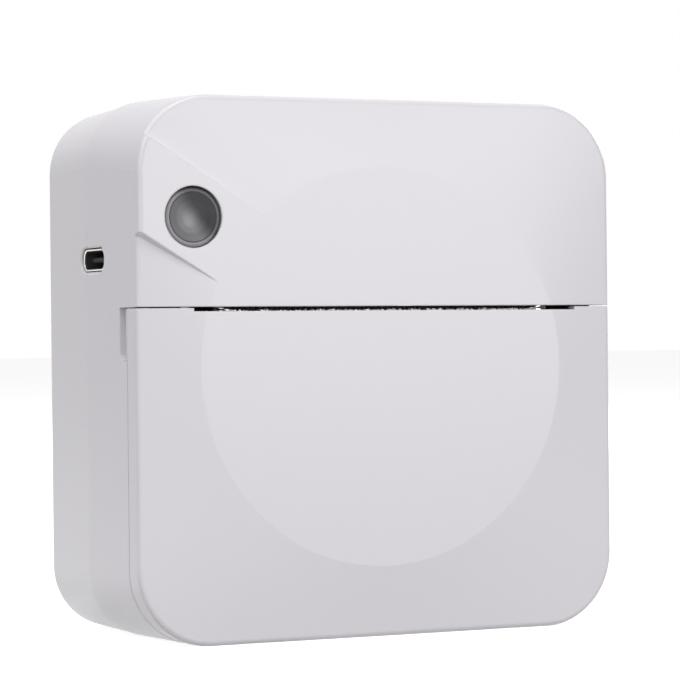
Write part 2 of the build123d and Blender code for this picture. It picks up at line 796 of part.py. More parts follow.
def make_motor():
    """The stepper motor: a drawn can, its mounting flange and bearing boss, and its lead block."""
    can = rod_x(motor_x0, motor_x1, motor_y, motor_z, motor_d / 2)
    can = fillet([e for e in can.edges() if e.center().X > motor_x1 - 0.01], 0.6)
    flange = rod_x(motor_x0, motor_x0 + motor_flange, motor_y, motor_z, motor_d / 2)
    reach = motor_d / 2 + 1.4
    for angle in (60, 240):
        along_y = math.cos(math.radians(angle))
        along_z = math.sin(math.radians(angle))
        y = motor_y + reach * along_y
        z = motor_z + reach * along_z
        flange += rod_x(motor_x0, motor_x0 + motor_flange, y, z, motor_ear_d / 2)
        neck_y = motor_y + reach / 2 * along_y
        neck_z = motor_z + reach / 2 * along_z
        flange += rod_x(motor_x0, motor_x0 + motor_flange, neck_y, neck_z, reach / 2)
        flange -= rod_x(motor_x0 - 1, motor_x0 + 2, y, z, 0.9)
    boss = rod_x(motor_x0 - frame_wall, motor_x0, motor_y, motor_z, motor_boss_d / 2)
    block = box(motor_x1 - 0.5, motor_x1 + 1.8, motor_y - 3.2, motor_y + 3.2, motor_z - 4.9, motor_z - 1.8)
    body = can + flange + boss + block
    return body - rod_x(motor_x0 - 3, motor_x1 + 3, motor_y, motor_z, motor_shaft_d / 2 + run_clear)


def bush_slot(x):
    """The slot in a side plate that the platen's bearing drops into, flared to the front."""
    r = bush_d / 2 + bush_slot_clear
    slot = Polyline(
        (platen_y, platen_z - r), (plate_front - 1, platen_z - r - 0.5),
        (plate_front - 1, platen_z + r + 1.1), (platen_y, platen_z + r), close=True,
    )
    seat = rod_x(x - 1, x + frame_wall + 1, platen_y, platen_z, r)
    return extrude(side_view(x - 1) * make_face(slot), frame_wall + 2) + seat


def make_engine_frame():
    """The print engine's frame: two side plates, a web behind the head, a foot and a board ledge."""
    low = bay_top + frame_gap
    brow = shelf_back + shelf_gap
    front = [(plate_front, low + 2), (plate_front, platen_z + 5), (brow, slot_z - 0.5), (brow, frame_top)]
    toe = (plate_front + 3, low)
    web_back = web_y + frame_wall
    short_back = web_back + 1.8
    left_shape = Polyline(*front, (plate_back, frame_top), (plate_back, low), toe, close=True)
    right_shape = Polyline(*front, (short_back, frame_top), (short_back, low), toe, close=True)
    body = extrude(side_view(left_plate) * make_face(left_shape), frame_wall)
    body += extrude(side_view(right_plate) * make_face(right_shape), frame_wall)
    body += box(left_plate, right_plate + frame_wall, web_y, web_back, low, frame_top)
    foot_x0 = engine_screw_xs[0] - 4
    foot_x1 = engine_screw_xs[1] + 4
    body += box(foot_x0, foot_x1, web_y, engine_screw_y + 2.8, low, low + frame_wall)
    body += box(foot_x0, foot_x1, web_y, board_screw_y + 2.6, frame_top - frame_wall, frame_top)
    for x in board_screw_xs:
        body += rod_z(frame_top - 3.2, frame_top, x, board_screw_y, 1.9)
        body -= rod_z(frame_top - 4, frame_top + 1, x, board_screw_y, small_screw_d / 2 + seat_clear)
    for x in spring_xs:
        body += rod_y(web_y - 1.0, web_y + 0.1, x, spring_z, spring_d / 2 - spring_wire - 0.15)
    window_low = low + web_window_margin
    window_top = frame_top - web_window_margin
    for step in (-1, 0, 1):
        x0 = engine_x + step * web_window_pitch - web_window / 2
        body -= box(x0, x0 + web_window, web_y - 1, web_back + 1, window_low, window_top)
    for x in (left_plate, right_plate):
        body -= bush_slot(x)
    body -= rod_x(left_plate - 1, right_plate + frame_wall + 1, rod_y0, rod_z0, head_rod_d / 2 + seat_clear)
    body -= rod_x(left_plate - 1, motor_x0 + 1, motor_y, motor_z, motor_boss_d / 2 + seat_clear)
    for y, z in ((idler_y, idler_z), (wheel_y, wheel_z)):
        body -= rod_x(left_plate - 1, motor_x0 + 1, y, z, post_d / 2)
    for x in engine_screw_xs:
        body -= rod_z(low - 1, low + frame_wall + 1, x, engine_screw_y, small_screw_d / 2 + screw_clear)
    return body


def make_head_sink():
    """The aluminium carrier of the print head, hung on its rod."""
    x0 = bay_left + sink_side_gap
    x1 = bay_right - sink_side_gap
    back = sink_y + sink_wall
    top = rod_z0 + sink_height
    body = box(x0, x1, sink_y, back, rod_z0, top)
    body += rod_x(x0, x1, rod_y0, rod_z0, head_rod_d / 2 + 0.9)
    for x in spring_xs:
        body -= rod_y(back - spring_seat - 0.05, back + 1, x, spring_z, spring_d / 2 + 0.2)
    for i in range(9):
        x = x0 + (i + 1) * (x1 - x0) / 10
        if min(abs(x - s) for s in spring_xs) > spring_d:
            body -= box(x - fin_gap / 2, x + fin_gap / 2, back - fin_depth, back + 1, rod_z0 + 3, top + 1)
    return body - rod_x(x0 - 1, x1 + 1, rod_y0, rod_z0, head_rod_d / 2 + run_clear)


def make_print_head():
    """The ceramic plate with its line of heaters and the sealed row of driver chips."""
    x0 = bay_left + sink_side_gap + 0.6
    x1 = bay_right - sink_side_gap - 0.6
    low = platen_z - head_plate_low
    face = sink_y - head_plate
    body = box(x0, x1, face, sink_y, low, low + head_plate_height)
    chips_top = low + head_plate_height - 0.8
    chips = box(x0 + 3, x1 - 3, face - head_chips, face + 0.1, chips_top - head_chips_height, chips_top)
    chips = fillet(chips.edges().filter_by(Axis.X).group_by(Axis.Y)[0], head_chips * 0.8)
    return body + chips


def make_head_rod():
    return rod_x(left_plate - 0.3, right_plate + frame_wall + 0.3, rod_y0, rod_z0, head_rod_d / 2)


def make_head_springs():
    springs = []
    for x in spring_xs:
        y0 = sink_y + sink_wall - spring_seat
        tube = rod_y(y0, web_y, x, spring_z, spring_d / 2)
        springs.append(tube - rod_y(y0 - 1, web_y + 1, x, spring_z, spring_d / 2 - spring_wire))
    return group(springs)


def make_gear_posts():
    return group([
        rod_x(gear_x0 - 0.15, motor_x0, idler_y, idler_z, post_d / 2),
        rod_x(cover_x0, motor_x0, wheel_y, wheel_z, post_d / 2),
    ])


def make_gear_cover():
    """The plate over the gears, on three legs, clear of the platen gear's way out."""
    top = frame_top - 0.4
    back = plate_back - 0.4
    shape = Polyline(
        (idler_y - 3.5, idler_z - 3.2), (wheel_y - 5.8, wheel_z + 3.0), (wheel_y - 3.8, top),
        (back, top), (back, bay_top + 2), (idler_y + 1.0, bay_top + 1.2), close=True,
    )
    body = extrude(side_view(cover_x0) * make_face(shape), gear_cover_wall)
    body = fillet(body.edges().filter_by(Axis.X), 1.0)
    for y, z in cover_legs:
        body += rod_x(cover_x0, left_plate, y, z, cover_leg_d / 2)
    body -= box(cover_x0 - 1, cover_x0 + 2, motor_y - 2.6, motor_y + 2.6, motor_z - 2.6, motor_z + 2.6)
    return body - rod_x(cover_x0 - 1, left_plate, wheel_y, wheel_z, post_d / 2 + seat_clear)


def make_tear_bar():
    """The toothed strip that the paper is torn on, hung on three pegs."""
    x0 = engine_x - tear_width / 2
    x1 = x0 + tear_width
    root = tear_y + tear_tooth
    back = tear_y + tear_depth
    points = [(x0, back), (x0, root)]
    for i in range(int(tear_width / tear_pitch)):
        points.append((x0 + (i + 0.5) * tear_pitch, tear_y))
        points.append((x0 + (i + 1) * tear_pitch, root))
    if x1 - points[-1][0] > 0.01:
        points.append((x1, root))
    points.append((x1, back))
    face = Plane((0, 0, slot_z - tear_wall)) * make_face(Polyline(*points, close=True))
    body = extrude(face, tear_wall)
    for x in tear_peg_xs:
        body -= rod_z(slot_z - 2, slot_z + 1, x, tear_peg_y, tear_peg_d / 2 + seat_clear)
    return body


def make_power_button():
    """A round cap with a rolled rim and a dished face, kept in by its flange."""
    front = face_y + button_set_back
    seat = inner_y + button_seat
    back = seat + button_flange_height
    cap = rod_y(front, back, button_x, button_z, button_d / 2)
    rim = [e for e in cap.edges() if e.center().Y < front + 0.01 and e.length > 1]
    cap = fillet(rim, button_edge)
    dish_r = button_d / 2 - button_rim
    ball_r = (dish_r ** 2 + dish_depth ** 2) / (2 * dish_depth)
    cap -= Pos(button_x, front + dish_depth - ball_r, button_z) * Sphere(ball_r)
    cap += rod_y(seat, back, button_x, button_z, button_d / 2 + button_flange)
    neck_end = switch_y - switch_stem - button_seat
    return cap + rod_y(back - 0.1, neck_end, button_x, button_z, button_neck_d / 2)


def make_switch_stem():
    return rod_y(switch_y - switch_stem, switch_y + switch_stem, button_x, button_z, switch_stem_d / 2)


def make_tact_switch():
    reach = switch_side / 2
    body = box(
        button_x - reach, button_x + reach, switch_y, small_board_y, button_z - reach, button_z + reach
    )
    body = chamfer(body.edges().filter_by(Axis.Y), 0.5)
    depth_in = switch_stem + button_travel + 0.1
    return body - rod_y(switch_y - 1, switch_y + depth_in, button_x, button_z, switch_stem_d / 2 + run_clear)


def make_button_board():
    wide = stake_x + stake_margin
    tall = stake_z + stake_margin
    body = box(
        button_x - wide, button_x + wide, small_board_y, small_board_y + small_board_wall,
        button_z - tall, button_z + tall,
    )
    body = fillet(body.edges().filter_by(Axis.Y), 0.8)
    for x, z in stake_places:
        body -= rod_y(small_board_y - 1, small_board_y + 2, x, z, stake_d / 2 + seat_clear)
    return body


def make_main_board():
    body = box(board_left, board_right, board_y, board_back, board_top - board_wall, board_top)
    body = fillet(body.edges().filter_by(Axis.Z), 1.0)
    for x in board_screw_xs:
        body -= rod_z(board_top - 3, board_top + 1, x, board_screw_y, small_screw_d / 2 + screw_clear)
    return body


def block_front(back):
    """Where a block starts: behind the board's front edge, or before its back edge if below 0."""
    return back + (board_y if back > 0 else board_back)


def make_board_parts():
    """Chips, plug sockets and a capacitor, each seated on the board."""
    z = board_top
    blocks = []
    for inset, back, wide, deep, tall in left_blocks:
        x = board_left + inset
        y = block_front(back)
        blocks.append(box(x, x + wide, y, y + deep, z, z + tall))
    for inset, back, wide, deep, tall in right_blocks:
        x = board_right - inset
        y = block_front(back)
        blocks.append(box(x - wide, x, y, y + deep, z, z + tall))
    can_y = board_screw_y + capacitor_behind_screw
    can = rod_z(z, z + capacitor_height, board_screw_xs[1], can_y, capacitor_d / 2)
    return group(blocks + [can])


def make_port():
    """The charging socket: a rolled metal shell, flat-sided with round ends, and its tongue."""
    mouth = Plane((port_recess - half, port_y, port_z), x_dir=(0, 1, 0), z_dir=(1, 0, 0))
    bend = port_height * 0.42
    shell = extrude(mouth * RectangleRounded(port_width, port_height, bend), port_length)
    hollow = RectangleRounded(port_width - 2 * port_sheet, port_height - 2 * port_sheet, bend - port_sheet)
    inner = extrude(mouth * hollow, port_length - 1.0)
    tongue = extrude(mouth.offset(0.8) * Rectangle(port_tongue_width, port_tongue), port_length - 1.2)
    return shell - inner + tongue


def make_battery():
    body = box(
        battery_left + battery_gap, battery_right - battery_gap, battery_y - battery_depth / 2,
        battery_y + battery_depth / 2, battery_z, battery_z + battery_height,
    )
    return fillet(body.edges().filter_by(Axis.X), 2.0)


def make_paper_sensor():
    x = engine_x + sensor_offset
    y = bay_mouth + 0.2
    top = bay_z + bay_r
    return box(x - sensor_width / 2, x + sensor_width / 2, y, y + sensor_depth, top - sensor_height, top)


def screw(head_r, head, shank_r, length):
    """A pan-head screw, head up, with a cross recess."""
    body = rod_z(0, head, 0, 0, head_r)
    body = fillet([e for e in body.edges() if e.center().Z > head - 0.01], head * 0.4)
    body += rod_z(-length, head * 0.1, 0, 0, shank_r)
    arm = head_r * 0.55
    slit = head_r * 0.15
    low = head * 0.4
    return body - box(-arm, arm, -slit, slit, low, head + 1) - box(-slit, slit, -arm, arm, low, head + 1)


def placed(shape, x, y, z, z_dir):
    """A copy of a shape whose own Z points along z_dir."""
    return Plane((x, y, z), x_dir=(1, 0, 0), z_dir=z_dir).location * shape


def make_case_screws():
    y = back_y - screw_seat_depth
    one = screw(screw_head_d / 2, screw_head, screw_d / 2, y - seam_y + screw_grip)
    return group([placed(one, x, y, z, (0, 1, 0)) for x in (-boss_x, boss_x) for z in boss_zs])


def make_engine_screws():
    one = screw(small_screw_head_d / 2, small_screw_head, small_screw_d / 2, engine_screw_length)
    z = bay_top + frame_gap + frame_wall
    return group([placed(one, x, engine_screw_y, z, (0, 0, 1)) for x in engine_screw_xs])


def make_board_screws():
    one = screw(small_screw_head_d / 2, small_screw_head, small_screw_d / 2, board_screw_length)
    return group([placed(one, x, board_screw_y, board_top, (0, 0, 1)) for x in board_screw_xs])


def make_liner_screws():
    one = screw(liner_screw_head_d / 2, liner_screw_head, liner_screw_d / 2, liner_screw_length)
    return group([placed(one, x, liner_y + liner_wall, z, (0, 1, 0)) for x, z in liner_screws])


makers = {
    "front_housing": make_front_housing,
    "rear_shell": make_rear_shell,
    "lid": make_lid,
    "lid_liner": make_lid_liner,
    "hinge_pins": make_hinge_pins,
    "paper_bay": make_bay,
    "paper_sensor": make_paper_sensor,
    "platen_shaft": make_platen_shaft,
    "platen_roller": make_platen_roller,
    "platen_gear": make_platen_gear,
    "platen_bushings": make_bushings,
    "engine_frame": make_engine_frame,
    "head_sink": make_head_sink,
    "print_head": make_print_head,
    "head_rod": make_head_rod,
    "head_springs": make_head_springs,
    "stepper_motor": make_motor,
    "motor_shaft": make_motor_shaft,
    "motor_pinion": make_motor_pinion,
    "reduction_gear": make_reduction_gear,
    "idler_gear": make_idler_gear,
    "gear_posts": make_gear_posts,
    "gear_cover": make_gear_cover,
    "tear_bar": make_tear_bar,
    "power_button": make_power_button,
    "switch_stem": make_switch_stem,
    "tact_switch": make_tact_switch,
    "button_board": make_button_board,
    "main_board": make_main_board,
    "board_parts": make_board_parts,
    "charging_port": make_port,
    "battery": make_battery,
    "case_screws": make_case_screws,
    "engine_screws": make_engine_screws,
    "board_screws": make_board_screws,
    "liner_screws": make_liner_screws,
}

for name, make in makers.items():
    export_step(make(), f"parts/{name}.step")
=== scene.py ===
import math

import bmesh
import bpy
from bpy.props import FloatProperty, FloatVectorProperty, IntProperty, PointerProperty
from mathutils import Matrix, Vector


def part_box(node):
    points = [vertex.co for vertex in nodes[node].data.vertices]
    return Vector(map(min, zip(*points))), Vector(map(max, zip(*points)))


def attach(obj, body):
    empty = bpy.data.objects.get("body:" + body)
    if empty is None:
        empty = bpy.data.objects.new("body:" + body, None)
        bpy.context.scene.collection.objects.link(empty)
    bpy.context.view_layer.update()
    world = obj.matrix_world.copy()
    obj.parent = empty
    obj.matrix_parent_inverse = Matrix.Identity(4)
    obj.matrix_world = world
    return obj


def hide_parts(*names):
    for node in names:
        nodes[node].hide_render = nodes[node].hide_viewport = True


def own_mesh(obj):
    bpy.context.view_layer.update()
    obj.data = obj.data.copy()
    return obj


bl_info = {
    "name": "Portable Thermal Printer",
    "version": (1, 0, 0),
    "blender": (4, 5, 0),
    "location": "3D View > Sidebar > Printer",
    "description": "Finishes, fine pieces and studio for a palm-sized thermal printer",
    "category": "Object",
}

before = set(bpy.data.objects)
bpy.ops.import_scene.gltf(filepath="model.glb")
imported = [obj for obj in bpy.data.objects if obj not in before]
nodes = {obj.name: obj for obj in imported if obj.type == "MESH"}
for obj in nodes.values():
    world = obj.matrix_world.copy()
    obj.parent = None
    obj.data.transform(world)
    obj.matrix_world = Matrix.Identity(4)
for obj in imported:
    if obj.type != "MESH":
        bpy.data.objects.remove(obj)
mm = 0.001


def linear(hex_colour):
    """An sRGB hex colour as linear red, green, blue and alpha."""
    parts = [int(hex_colour[i:i + 2], 16) / 255 for i in (1, 3, 5)]
    return tuple(c / 12.92 if c <= 0.04045 else ((c + 0.055) / 1.055) ** 2.4 for c in parts) + (1.0,)


def shade(colour, factor):
    """The same colour, lighter or darker."""
    return tuple(min(1.0, c * factor) for c in tuple(colour)[:3]) + (1.0,)


def colour_prop(name, description, hex_colour):
    """A colour that the user can change."""
    return FloatVectorProperty(
        name=name, description=description, subtype="COLOR", size=4, min=0, max=1,
        default=linear(hex_colour),
    )


def length_prop(name, description, default):
    """A length that the user can change."""
    return FloatProperty(
        name=name, description=description, default=default, min=0, unit="LENGTH", precision=5,
    )


def power_prop(name, description, default):
    """A lamp's power that the user can change."""
    return FloatProperty(name=name, description=description, default=default, min=0, unit="POWER")


class PrinterCase(bpy.types.PropertyGroup):
    """Finish of the white case and its button."""

    white: colour_prop("White", "Colour of the case's ABS", "#E4E1E7")
    roughness: FloatProperty(
        name="Roughness", description="Satin level of the mould", default=0.27, min=0, max=1,
    )
    grain: length_prop("Grain", "Size of the mould's spark grain, as drawn", 0.35 * mm)
    grain_depth: length_prop("Grain depth", "Height of the mould's spark grain, as drawn", 0.0003 * mm)
    edge_round: length_prop("Edge rounding", "Radius at which the mouldings' edges are shaded", 0.3 * mm)
    # The button's two smoke tints carry painted shade and painted light: the dark one towards the upper
    # right, the pale one towards the lower left.
    shaded_smoke: colour_prop("Deep smoke", "Tint of the button where its wall is thick", "#29292C")
    lit_smoke: colour_prop("Thin smoke", "Tint of the button where its wall is thin", "#727174")


class PrinterInside(bpy.types.PropertyGroup):
    """Finishes and fine sizes of the pieces behind the lid."""

    charcoal: colour_prop("Charcoal", "Colour of the inner mouldings", "#5B5B5E")
    tear_grey: colour_prop("Tear strip", "Colour of the toothed strip's carrier", "#3A3A3D")
    tear_edge: length_prop("Tear edge", "Height of the bright steel edge of the toothed strip", 0.2 * mm)
    rubber: colour_prop("Rubber", "Colour of the platen's sleeve", "#2B2B2C")
    acetal: colour_prop("Acetal", "Colour of the gears", "#E9E6DA")
    mask_green: colour_prop("Solder mask", "Colour of the circuit boards", "#1E5B36")
    foil: colour_prop("Foil", "Colour of the battery's pouch", "#A9ABAE")
    tape: colour_prop("Tape", "Colour of the battery's end tape", "#C98A1B")
    coil_wire: length_prop("Spring wire", "Thickness of the head springs' wire", 0.5 * mm)
    coil_turns: IntProperty(
        name="Spring turns", description="Turns of each head spring", default=5, min=2, max=12,
    )
    lip_reach: length_prop("Socket lip", "How far the charging socket's rolled lip stands out", 0.65 * mm)
    lip_flare: length_prop("Socket flare", "How far the socket's lip flares outward", 0.15 * mm)
    sheet: length_prop("Socket sheet", "Thickness of the charging socket's shell", 0.3 * mm)
    contact_pitch: length_prop("Contact pitch", "Distance between the socket's contacts", 0.5 * mm)


class PrinterStage(bpy.types.PropertyGroup):
    """Camera, lamps and floor. The camera's values were fitted to the case's outline and creases."""

    lens: FloatProperty(name="Lens", description="Focal length", default=150.67, min=1, unit="CAMERA")
    camera_place: FloatVectorProperty(
        name="Camera", description="Camera position", subtype="TRANSLATION", unit="LENGTH", size=3,
        default=(-199.4 * mm, -420.8 * mm, 46.7 * mm),
    )
    camera_yaw: FloatProperty(
        name="Yaw", description="Camera's turn to the right of +Y", subtype="ANGLE",
        default=math.radians(25.55),
    )
    camera_roll: FloatProperty(
        name="Roll", description="Camera's tilt about its line of sight", subtype="ANGLE",
        default=math.radians(-0.595),
    )
    floor: colour_prop("Floor", "Colour of the floor", "#EDEDEE")
    floor_glow: FloatProperty(
        name="Glow", description="Level of the light table's own light", default=0.33, min=0,
    )
    key_power: power_prop("Key", "Power of the wide soft box high above the face", 8.7)
    left_power: power_prop("Left", "Power of the soft box at the left", 5.4)
    low_power: power_prop("Low left", "Power of the low soft box at the left", 1.3)
    front_power: power_prop("Front", "Power of the low soft box that the face mirrors", 3.75)
    back_power: power_prop("Back", "Power of the soft box behind, at the right", 9.0)
    ambient: FloatProperty(name="Ambient", description="Level of the room's even light", default=0.26, min=0)


def add(tree, kind, inputs=(), **settings):
    """Adds a node with its settings, and gives it its inputs."""
    node = tree.nodes.new(kind)
    for name, value in settings.items():
        setattr(node, name, value)
    return plug(tree, node, inputs)


def plug(tree, node, inputs):
    """Sets or links a node's inputs, by name or in order; a node as input means its first output."""
    sockets = [socket for socket in node.inputs if socket.enabled]
    for key, value in inputs.items() if isinstance(inputs, dict) else enumerate(inputs):
        socket = sockets[key] if isinstance(key, int) else next(s for s in sockets if s.name == key)
        if isinstance(value, bpy.types.Node):
            value = next(s for s in value.outputs if s.enabled)
        if isinstance(value, bpy.types.NodeSocket):
            tree.links.new(value, socket)
        else:
            socket.default_value = value
    return node


def new_finish(name):
    """A new material, its node tree, its shader, and the point on the piece in the frame's metres."""
    material = bpy.data.materials.new(name)
    material.use_nodes = True
    tree = material.node_tree
    place = add(tree, "ShaderNodeTexCoord").outputs["Object"]
    return material, tree, tree.nodes["Principled BSDF"], place


def spark_grained_abs():
    """White ABS from a spark-eroded mould: an even satin, with soft, wide highlights on its curves."""
    look = bpy.context.scene.printer_case
    material, tree, shader, place = new_finish("spark_grained_white_abs")
    # The melt's flow leaves the white a touch uneven, over about 20 mm.
    flow = add(tree, "ShaderNodeTexNoise", {"Vector": place, "Scale": 1 / (20 * mm), "Detail": 3})
    pale = shade(look.white, 1.001)
    dull = shade(look.white, 0.998)
    white = add(tree, "ShaderNodeMix", {"Factor": flow, "A": dull, "B": pale}, data_type="RGBA")
    # The mould's polish differs a little from patch to patch, about 6 mm across. A wider range than this one
    # shows the patches' outlines as pale flecks in a denoised render.
    spread = 0.003
    patches = add(tree, "ShaderNodeTexNoise", {"Vector": place, "Scale": 1 / (6 * mm)})
    satin = add(tree, "ShaderNodeMapRange", [patches, 0, 1, look.roughness - spread, look.roughness + spread])
    # Spark grain is about 0.05 mm across; it is drawn at 0.35 mm, or it wouldn't show.
    grain = add(tree, "ShaderNodeTexNoise", {"Vector": place, "Scale": 1 / look.grain, "Detail": 1})
    edges = add(tree, "ShaderNodeBevel", {"Radius": edge_radius(tree, place, look)}, samples=4)
    relief = add(tree, "ShaderNodeBump", {"Height": grain, "Distance": look.grain_depth, "Normal": edges})
    plug(tree, shader, {"Base Color": white, "Roughness": satin, "Normal": relief, "IOR": 1.54})
    return material


def edge_radius(tree, place, look):
    """The radius of the case's edges: moulds leave some of them sharp, and others soft."""
    spot = add(tree, "ShaderNodeSeparateXYZ", [place]).outputs
    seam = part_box("front_housing")[1].y
    # The raised band leans by 31 degrees, and its middle line runs through the button.
    lean = math.radians(31)
    across = Vector((math.sin(lean), 0, math.cos(lean)))
    rise = add(tree, "ShaderNodeVectorMath", [place, across], operation="DOT_PRODUCT")
    low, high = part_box("power_button")
    band = ((low + high) / 2).dot(across)
    half_band = 6.75 * mm
    by_seam = 0.5 * mm
    by_band = 0.6 * mm
    # Each zone: what is measured, the zone's middle, its reach to either side, and its edges' radius.
    zones = (
        # The front half's rim at the seam is sharp, and the back half's is soft.
        (spot["Y"], seam - by_seam, by_seam, 0.02 * mm),
        (spot["Y"], seam + by_seam, by_seam, 2 * look.edge_round),
        # The band's upper edge is sharp, and its lower edge is soft.
        (rise, band + half_band, by_band, 0.05 * mm),
        (rise, band - half_band, by_band, 1.2 * look.edge_round),
    )
    radius = look.edge_round
    for value, centre, reach, wanted in zones:
        zone = add(tree, "ShaderNodeMath", [value, centre, reach], operation="COMPARE")
        radius = add(tree, "ShaderNodeMix", {"Factor": zone, "A": radius, "B": wanted}, data_type="FLOAT")
    return radius


def matt_charcoal_abs():
    """Dark grey ABS from a coarser mould: matt, with a fine speckle of paler grain tops."""
    inside = bpy.context.scene.printer_inside
    material, tree, shader, place = new_finish("matt_charcoal_abs")
    # Coarse spark grain, about 0.2 mm across; drawn at 0.4 mm.
    grain = add(tree, "ShaderNodeTexNoise", {"Vector": place, "Scale": 1 / (0.4 * mm)})
    tops = add(tree, "ShaderNodeMapRange", [grain, 0.35, 0.75, 0, 1])
    low = shade(inside.charcoal, 0.85)
    high = shade(inside.charcoal, 1.15)
    tone = add(tree, "ShaderNodeMix", {"Factor": tops, "A": low, "B": high}, data_type="RGBA")
    relief = add(tree, "ShaderNodeBump", {"Height": grain, "Distance": 0.015 * mm})
    plug(tree, shader, {"Base Color": tone, "Roughness": 0.6, "Normal": relief, "IOR": 1.54})
    return material


def steel_edged_nylon():
    """The toothed strip: dull dark nylon over a ground steel edge whose teeth flash one by one."""
    inside = bpy.context.scene.printer_inside
    material, tree, shader, place = new_finish("steel_edged_nylon")
    low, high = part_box("tear_bar")
    spot = add(tree, "ShaderNodeSeparateXYZ", [place]).outputs
    # The steel's upper line wanders, because the nylon was moulded over it.
    waves = add(tree, "ShaderNodeTexNoise", {"Vector": place, "Scale": 1 / (0.6 * mm), "Detail": 2})
    line = add(tree, "ShaderNodeMapRange", [waves, 0.35, 0.65, low.z, low.z + 2 * inside.tear_edge])
    edge = add(tree, "ShaderNodeMath", [spot["Z"], line], operation="LESS_THAN")
    # At each end the steel is cut off on a slant, over 3.3 mm, and its bright cut shows.
    slant = (high.z - low.z) / (3.3 * mm)
    end = add(tree, "ShaderNodeMath", [spot["X"], (low.x + high.x) / 2], operation="SUBTRACT")
    end = add(tree, "ShaderNodeMath", [end], operation="ABSOLUTE")
    end = add(tree, "ShaderNodeMath", [(high.x - low.x) / 2, end], operation="SUBTRACT")
    height = add(tree, "ShaderNodeMath", [end, -slant, high.z], operation="MULTIPLY_ADD")
    cut = add(tree, "ShaderNodeMath", [spot["Z"], height, 0.11 * mm], operation="COMPARE")
    steel = add(tree, "ShaderNodeMath", [edge, cut], operation="MAXIMUM")
    # Glass fibres lie along the strip, about 0.5 mm long as they show.
    fibres = add(tree, "ShaderNodeTexNoise", {"Vector": place, "Scale": 1 / (0.5 * mm), "Detail": 3})
    dark = shade(inside.tear_grey, 0.8)
    pale = shade(inside.tear_grey, 1.3)
    nylon = add(tree, "ShaderNodeMix", {"Factor": fibres, "A": dark, "B": pale}, data_type="RGBA")
    bright = linear("#D6D4D2")
    tone = add(tree, "ShaderNodeMix", {"Factor": steel, "A": nylon, "B": bright}, data_type="RGBA")
    dull = add(tree, "ShaderNodeMapRange", [steel, 0, 1, 0.45, 0.24])
    plug(tree, shader, {"Base Color": tone, "Metallic": steel, "Roughness": dull})
    return material


def smoked_polycarbonate():
    """Smoky polycarbonate of the button: satin and dark, with painted light towards its lower left and
    painted shade towards its upper right, and paler over its middle.
    """
    look = bpy.context.scene.printer_case
    material, tree, shader, place = new_finish("smoked_polycarbonate")
    low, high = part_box("power_button")
    axis = Vector(((low.x + high.x) / 2, 0, (low.z + high.z) / 2))
    flat = add(tree, "ShaderNodeVectorMath", [place, (1, 0, 1)], operation="MULTIPLY")
    out = add(tree, "ShaderNodeVectorMath", [flat, axis], operation="DISTANCE")
    # Painted light and shade across the middle 3 mm: the smoke is paler towards the lower left and darker
    # towards the upper right.
    away = add(tree, "ShaderNodeVectorMath", [flat, axis], operation="SUBTRACT")
    lean = add(tree, "ShaderNodeVectorMath", [away, (-0.8, 0, -0.6)], operation="DOT_PRODUCT")
    lit_side = add(
        tree, "ShaderNodeMapRange", [lean, -1.9 * mm, 1.1 * mm, 0, 1], interpolation_type="SMOOTHSTEP",
    )
    smoke_in_shade = tuple(look.shaded_smoke)
    pale = tuple(look.lit_smoke)
    smoke = add(tree, "ShaderNodeMix", {"Factor": lit_side, "A": smoke_in_shade, "B": pale}, data_type="RGBA")
    # The plunger behind it, 3 mm across, and the plunger's flange, 5 mm across, show through softly.
    plunger = add(tree, "ShaderNodeMapRange", [out, 1.4 * mm, 1.7 * mm, 1.15, 1])
    flange = add(tree, "ShaderNodeMapRange", [out, 2.3 * mm, 2.7 * mm, 1.3, 1])
    # The dish ends in a line of painted shade, 0.25 mm wide, where its edge falls into shadow, and a flat rim
    # with a painted highlight.
    dish_edge = add(tree, "ShaderNodeMath", [out, 3.85 * mm, 0.13 * mm], operation="COMPARE")
    painted_edge_shade = add(tree, "ShaderNodeMapRange", [dish_edge, 0, 1, 1, 0.35])
    level = add(tree, "ShaderNodeMath", [plunger, flange], operation="MULTIPLY")
    level = add(tree, "ShaderNodeMath", [level, painted_edge_shade], operation="MULTIPLY")
    # Painted highlight: the flat rim is made 1.6 times paler, as if it caught the light.
    rim = add(tree, "ShaderNodeMapRange", [out, 3.98 * mm, 4.05 * mm, 1, 1.6])
    level = add(tree, "ShaderNodeMath", [level, rim], operation="MULTIPLY")
    tone = add(tree, "ShaderNodeVectorMath", {"Vector": smoke, "Scale": level}, operation="SCALE")
    haze = add(tree, "ShaderNodeTexNoise", {"Vector": place, "Scale": 1 / (2 * mm)})
    satin = add(tree, "ShaderNodeMapRange", [haze, 0, 1, 0.26, 0.34])
    plug(tree, shader, {
        "Base Color": tone, "Roughness": satin, "IOR": 1.58, "Specular IOR Level": 0.35,
    })
    return material


def ground_steel():
    """Centreless-ground steel: fine hoops round each bar, which smear highlights along it."""
    material, tree, shader, place = new_finish("ground_steel")
    # Grinding marks are under 0.05 mm apart; drawn at 0.2 mm.
    hoops = add(tree, "ShaderNodeVectorMath", [place, (1, 0.02, 0.02)], operation="MULTIPLY")
    marks = add(tree, "ShaderNodeTexNoise", {"Vector": hoops, "Scale": 1 / (0.2 * mm)})
    dark = linear("#A9A9AB")
    tone = add(tree, "ShaderNodeMix", {"Factor": marks, "A": dark, "B": linear("#CDCDCE")}, data_type="RGBA")
    dull = add(tree, "ShaderNodeMapRange", [marks, 0.3, 0.7, 0.18, 0.34])
    relief = add(tree, "ShaderNodeBump", {"Height": marks, "Distance": 0.003 * mm})
    plug(tree, shader, {"Base Color": tone, "Metallic": 1, "Roughness": dull, "Normal": relief})
    return material


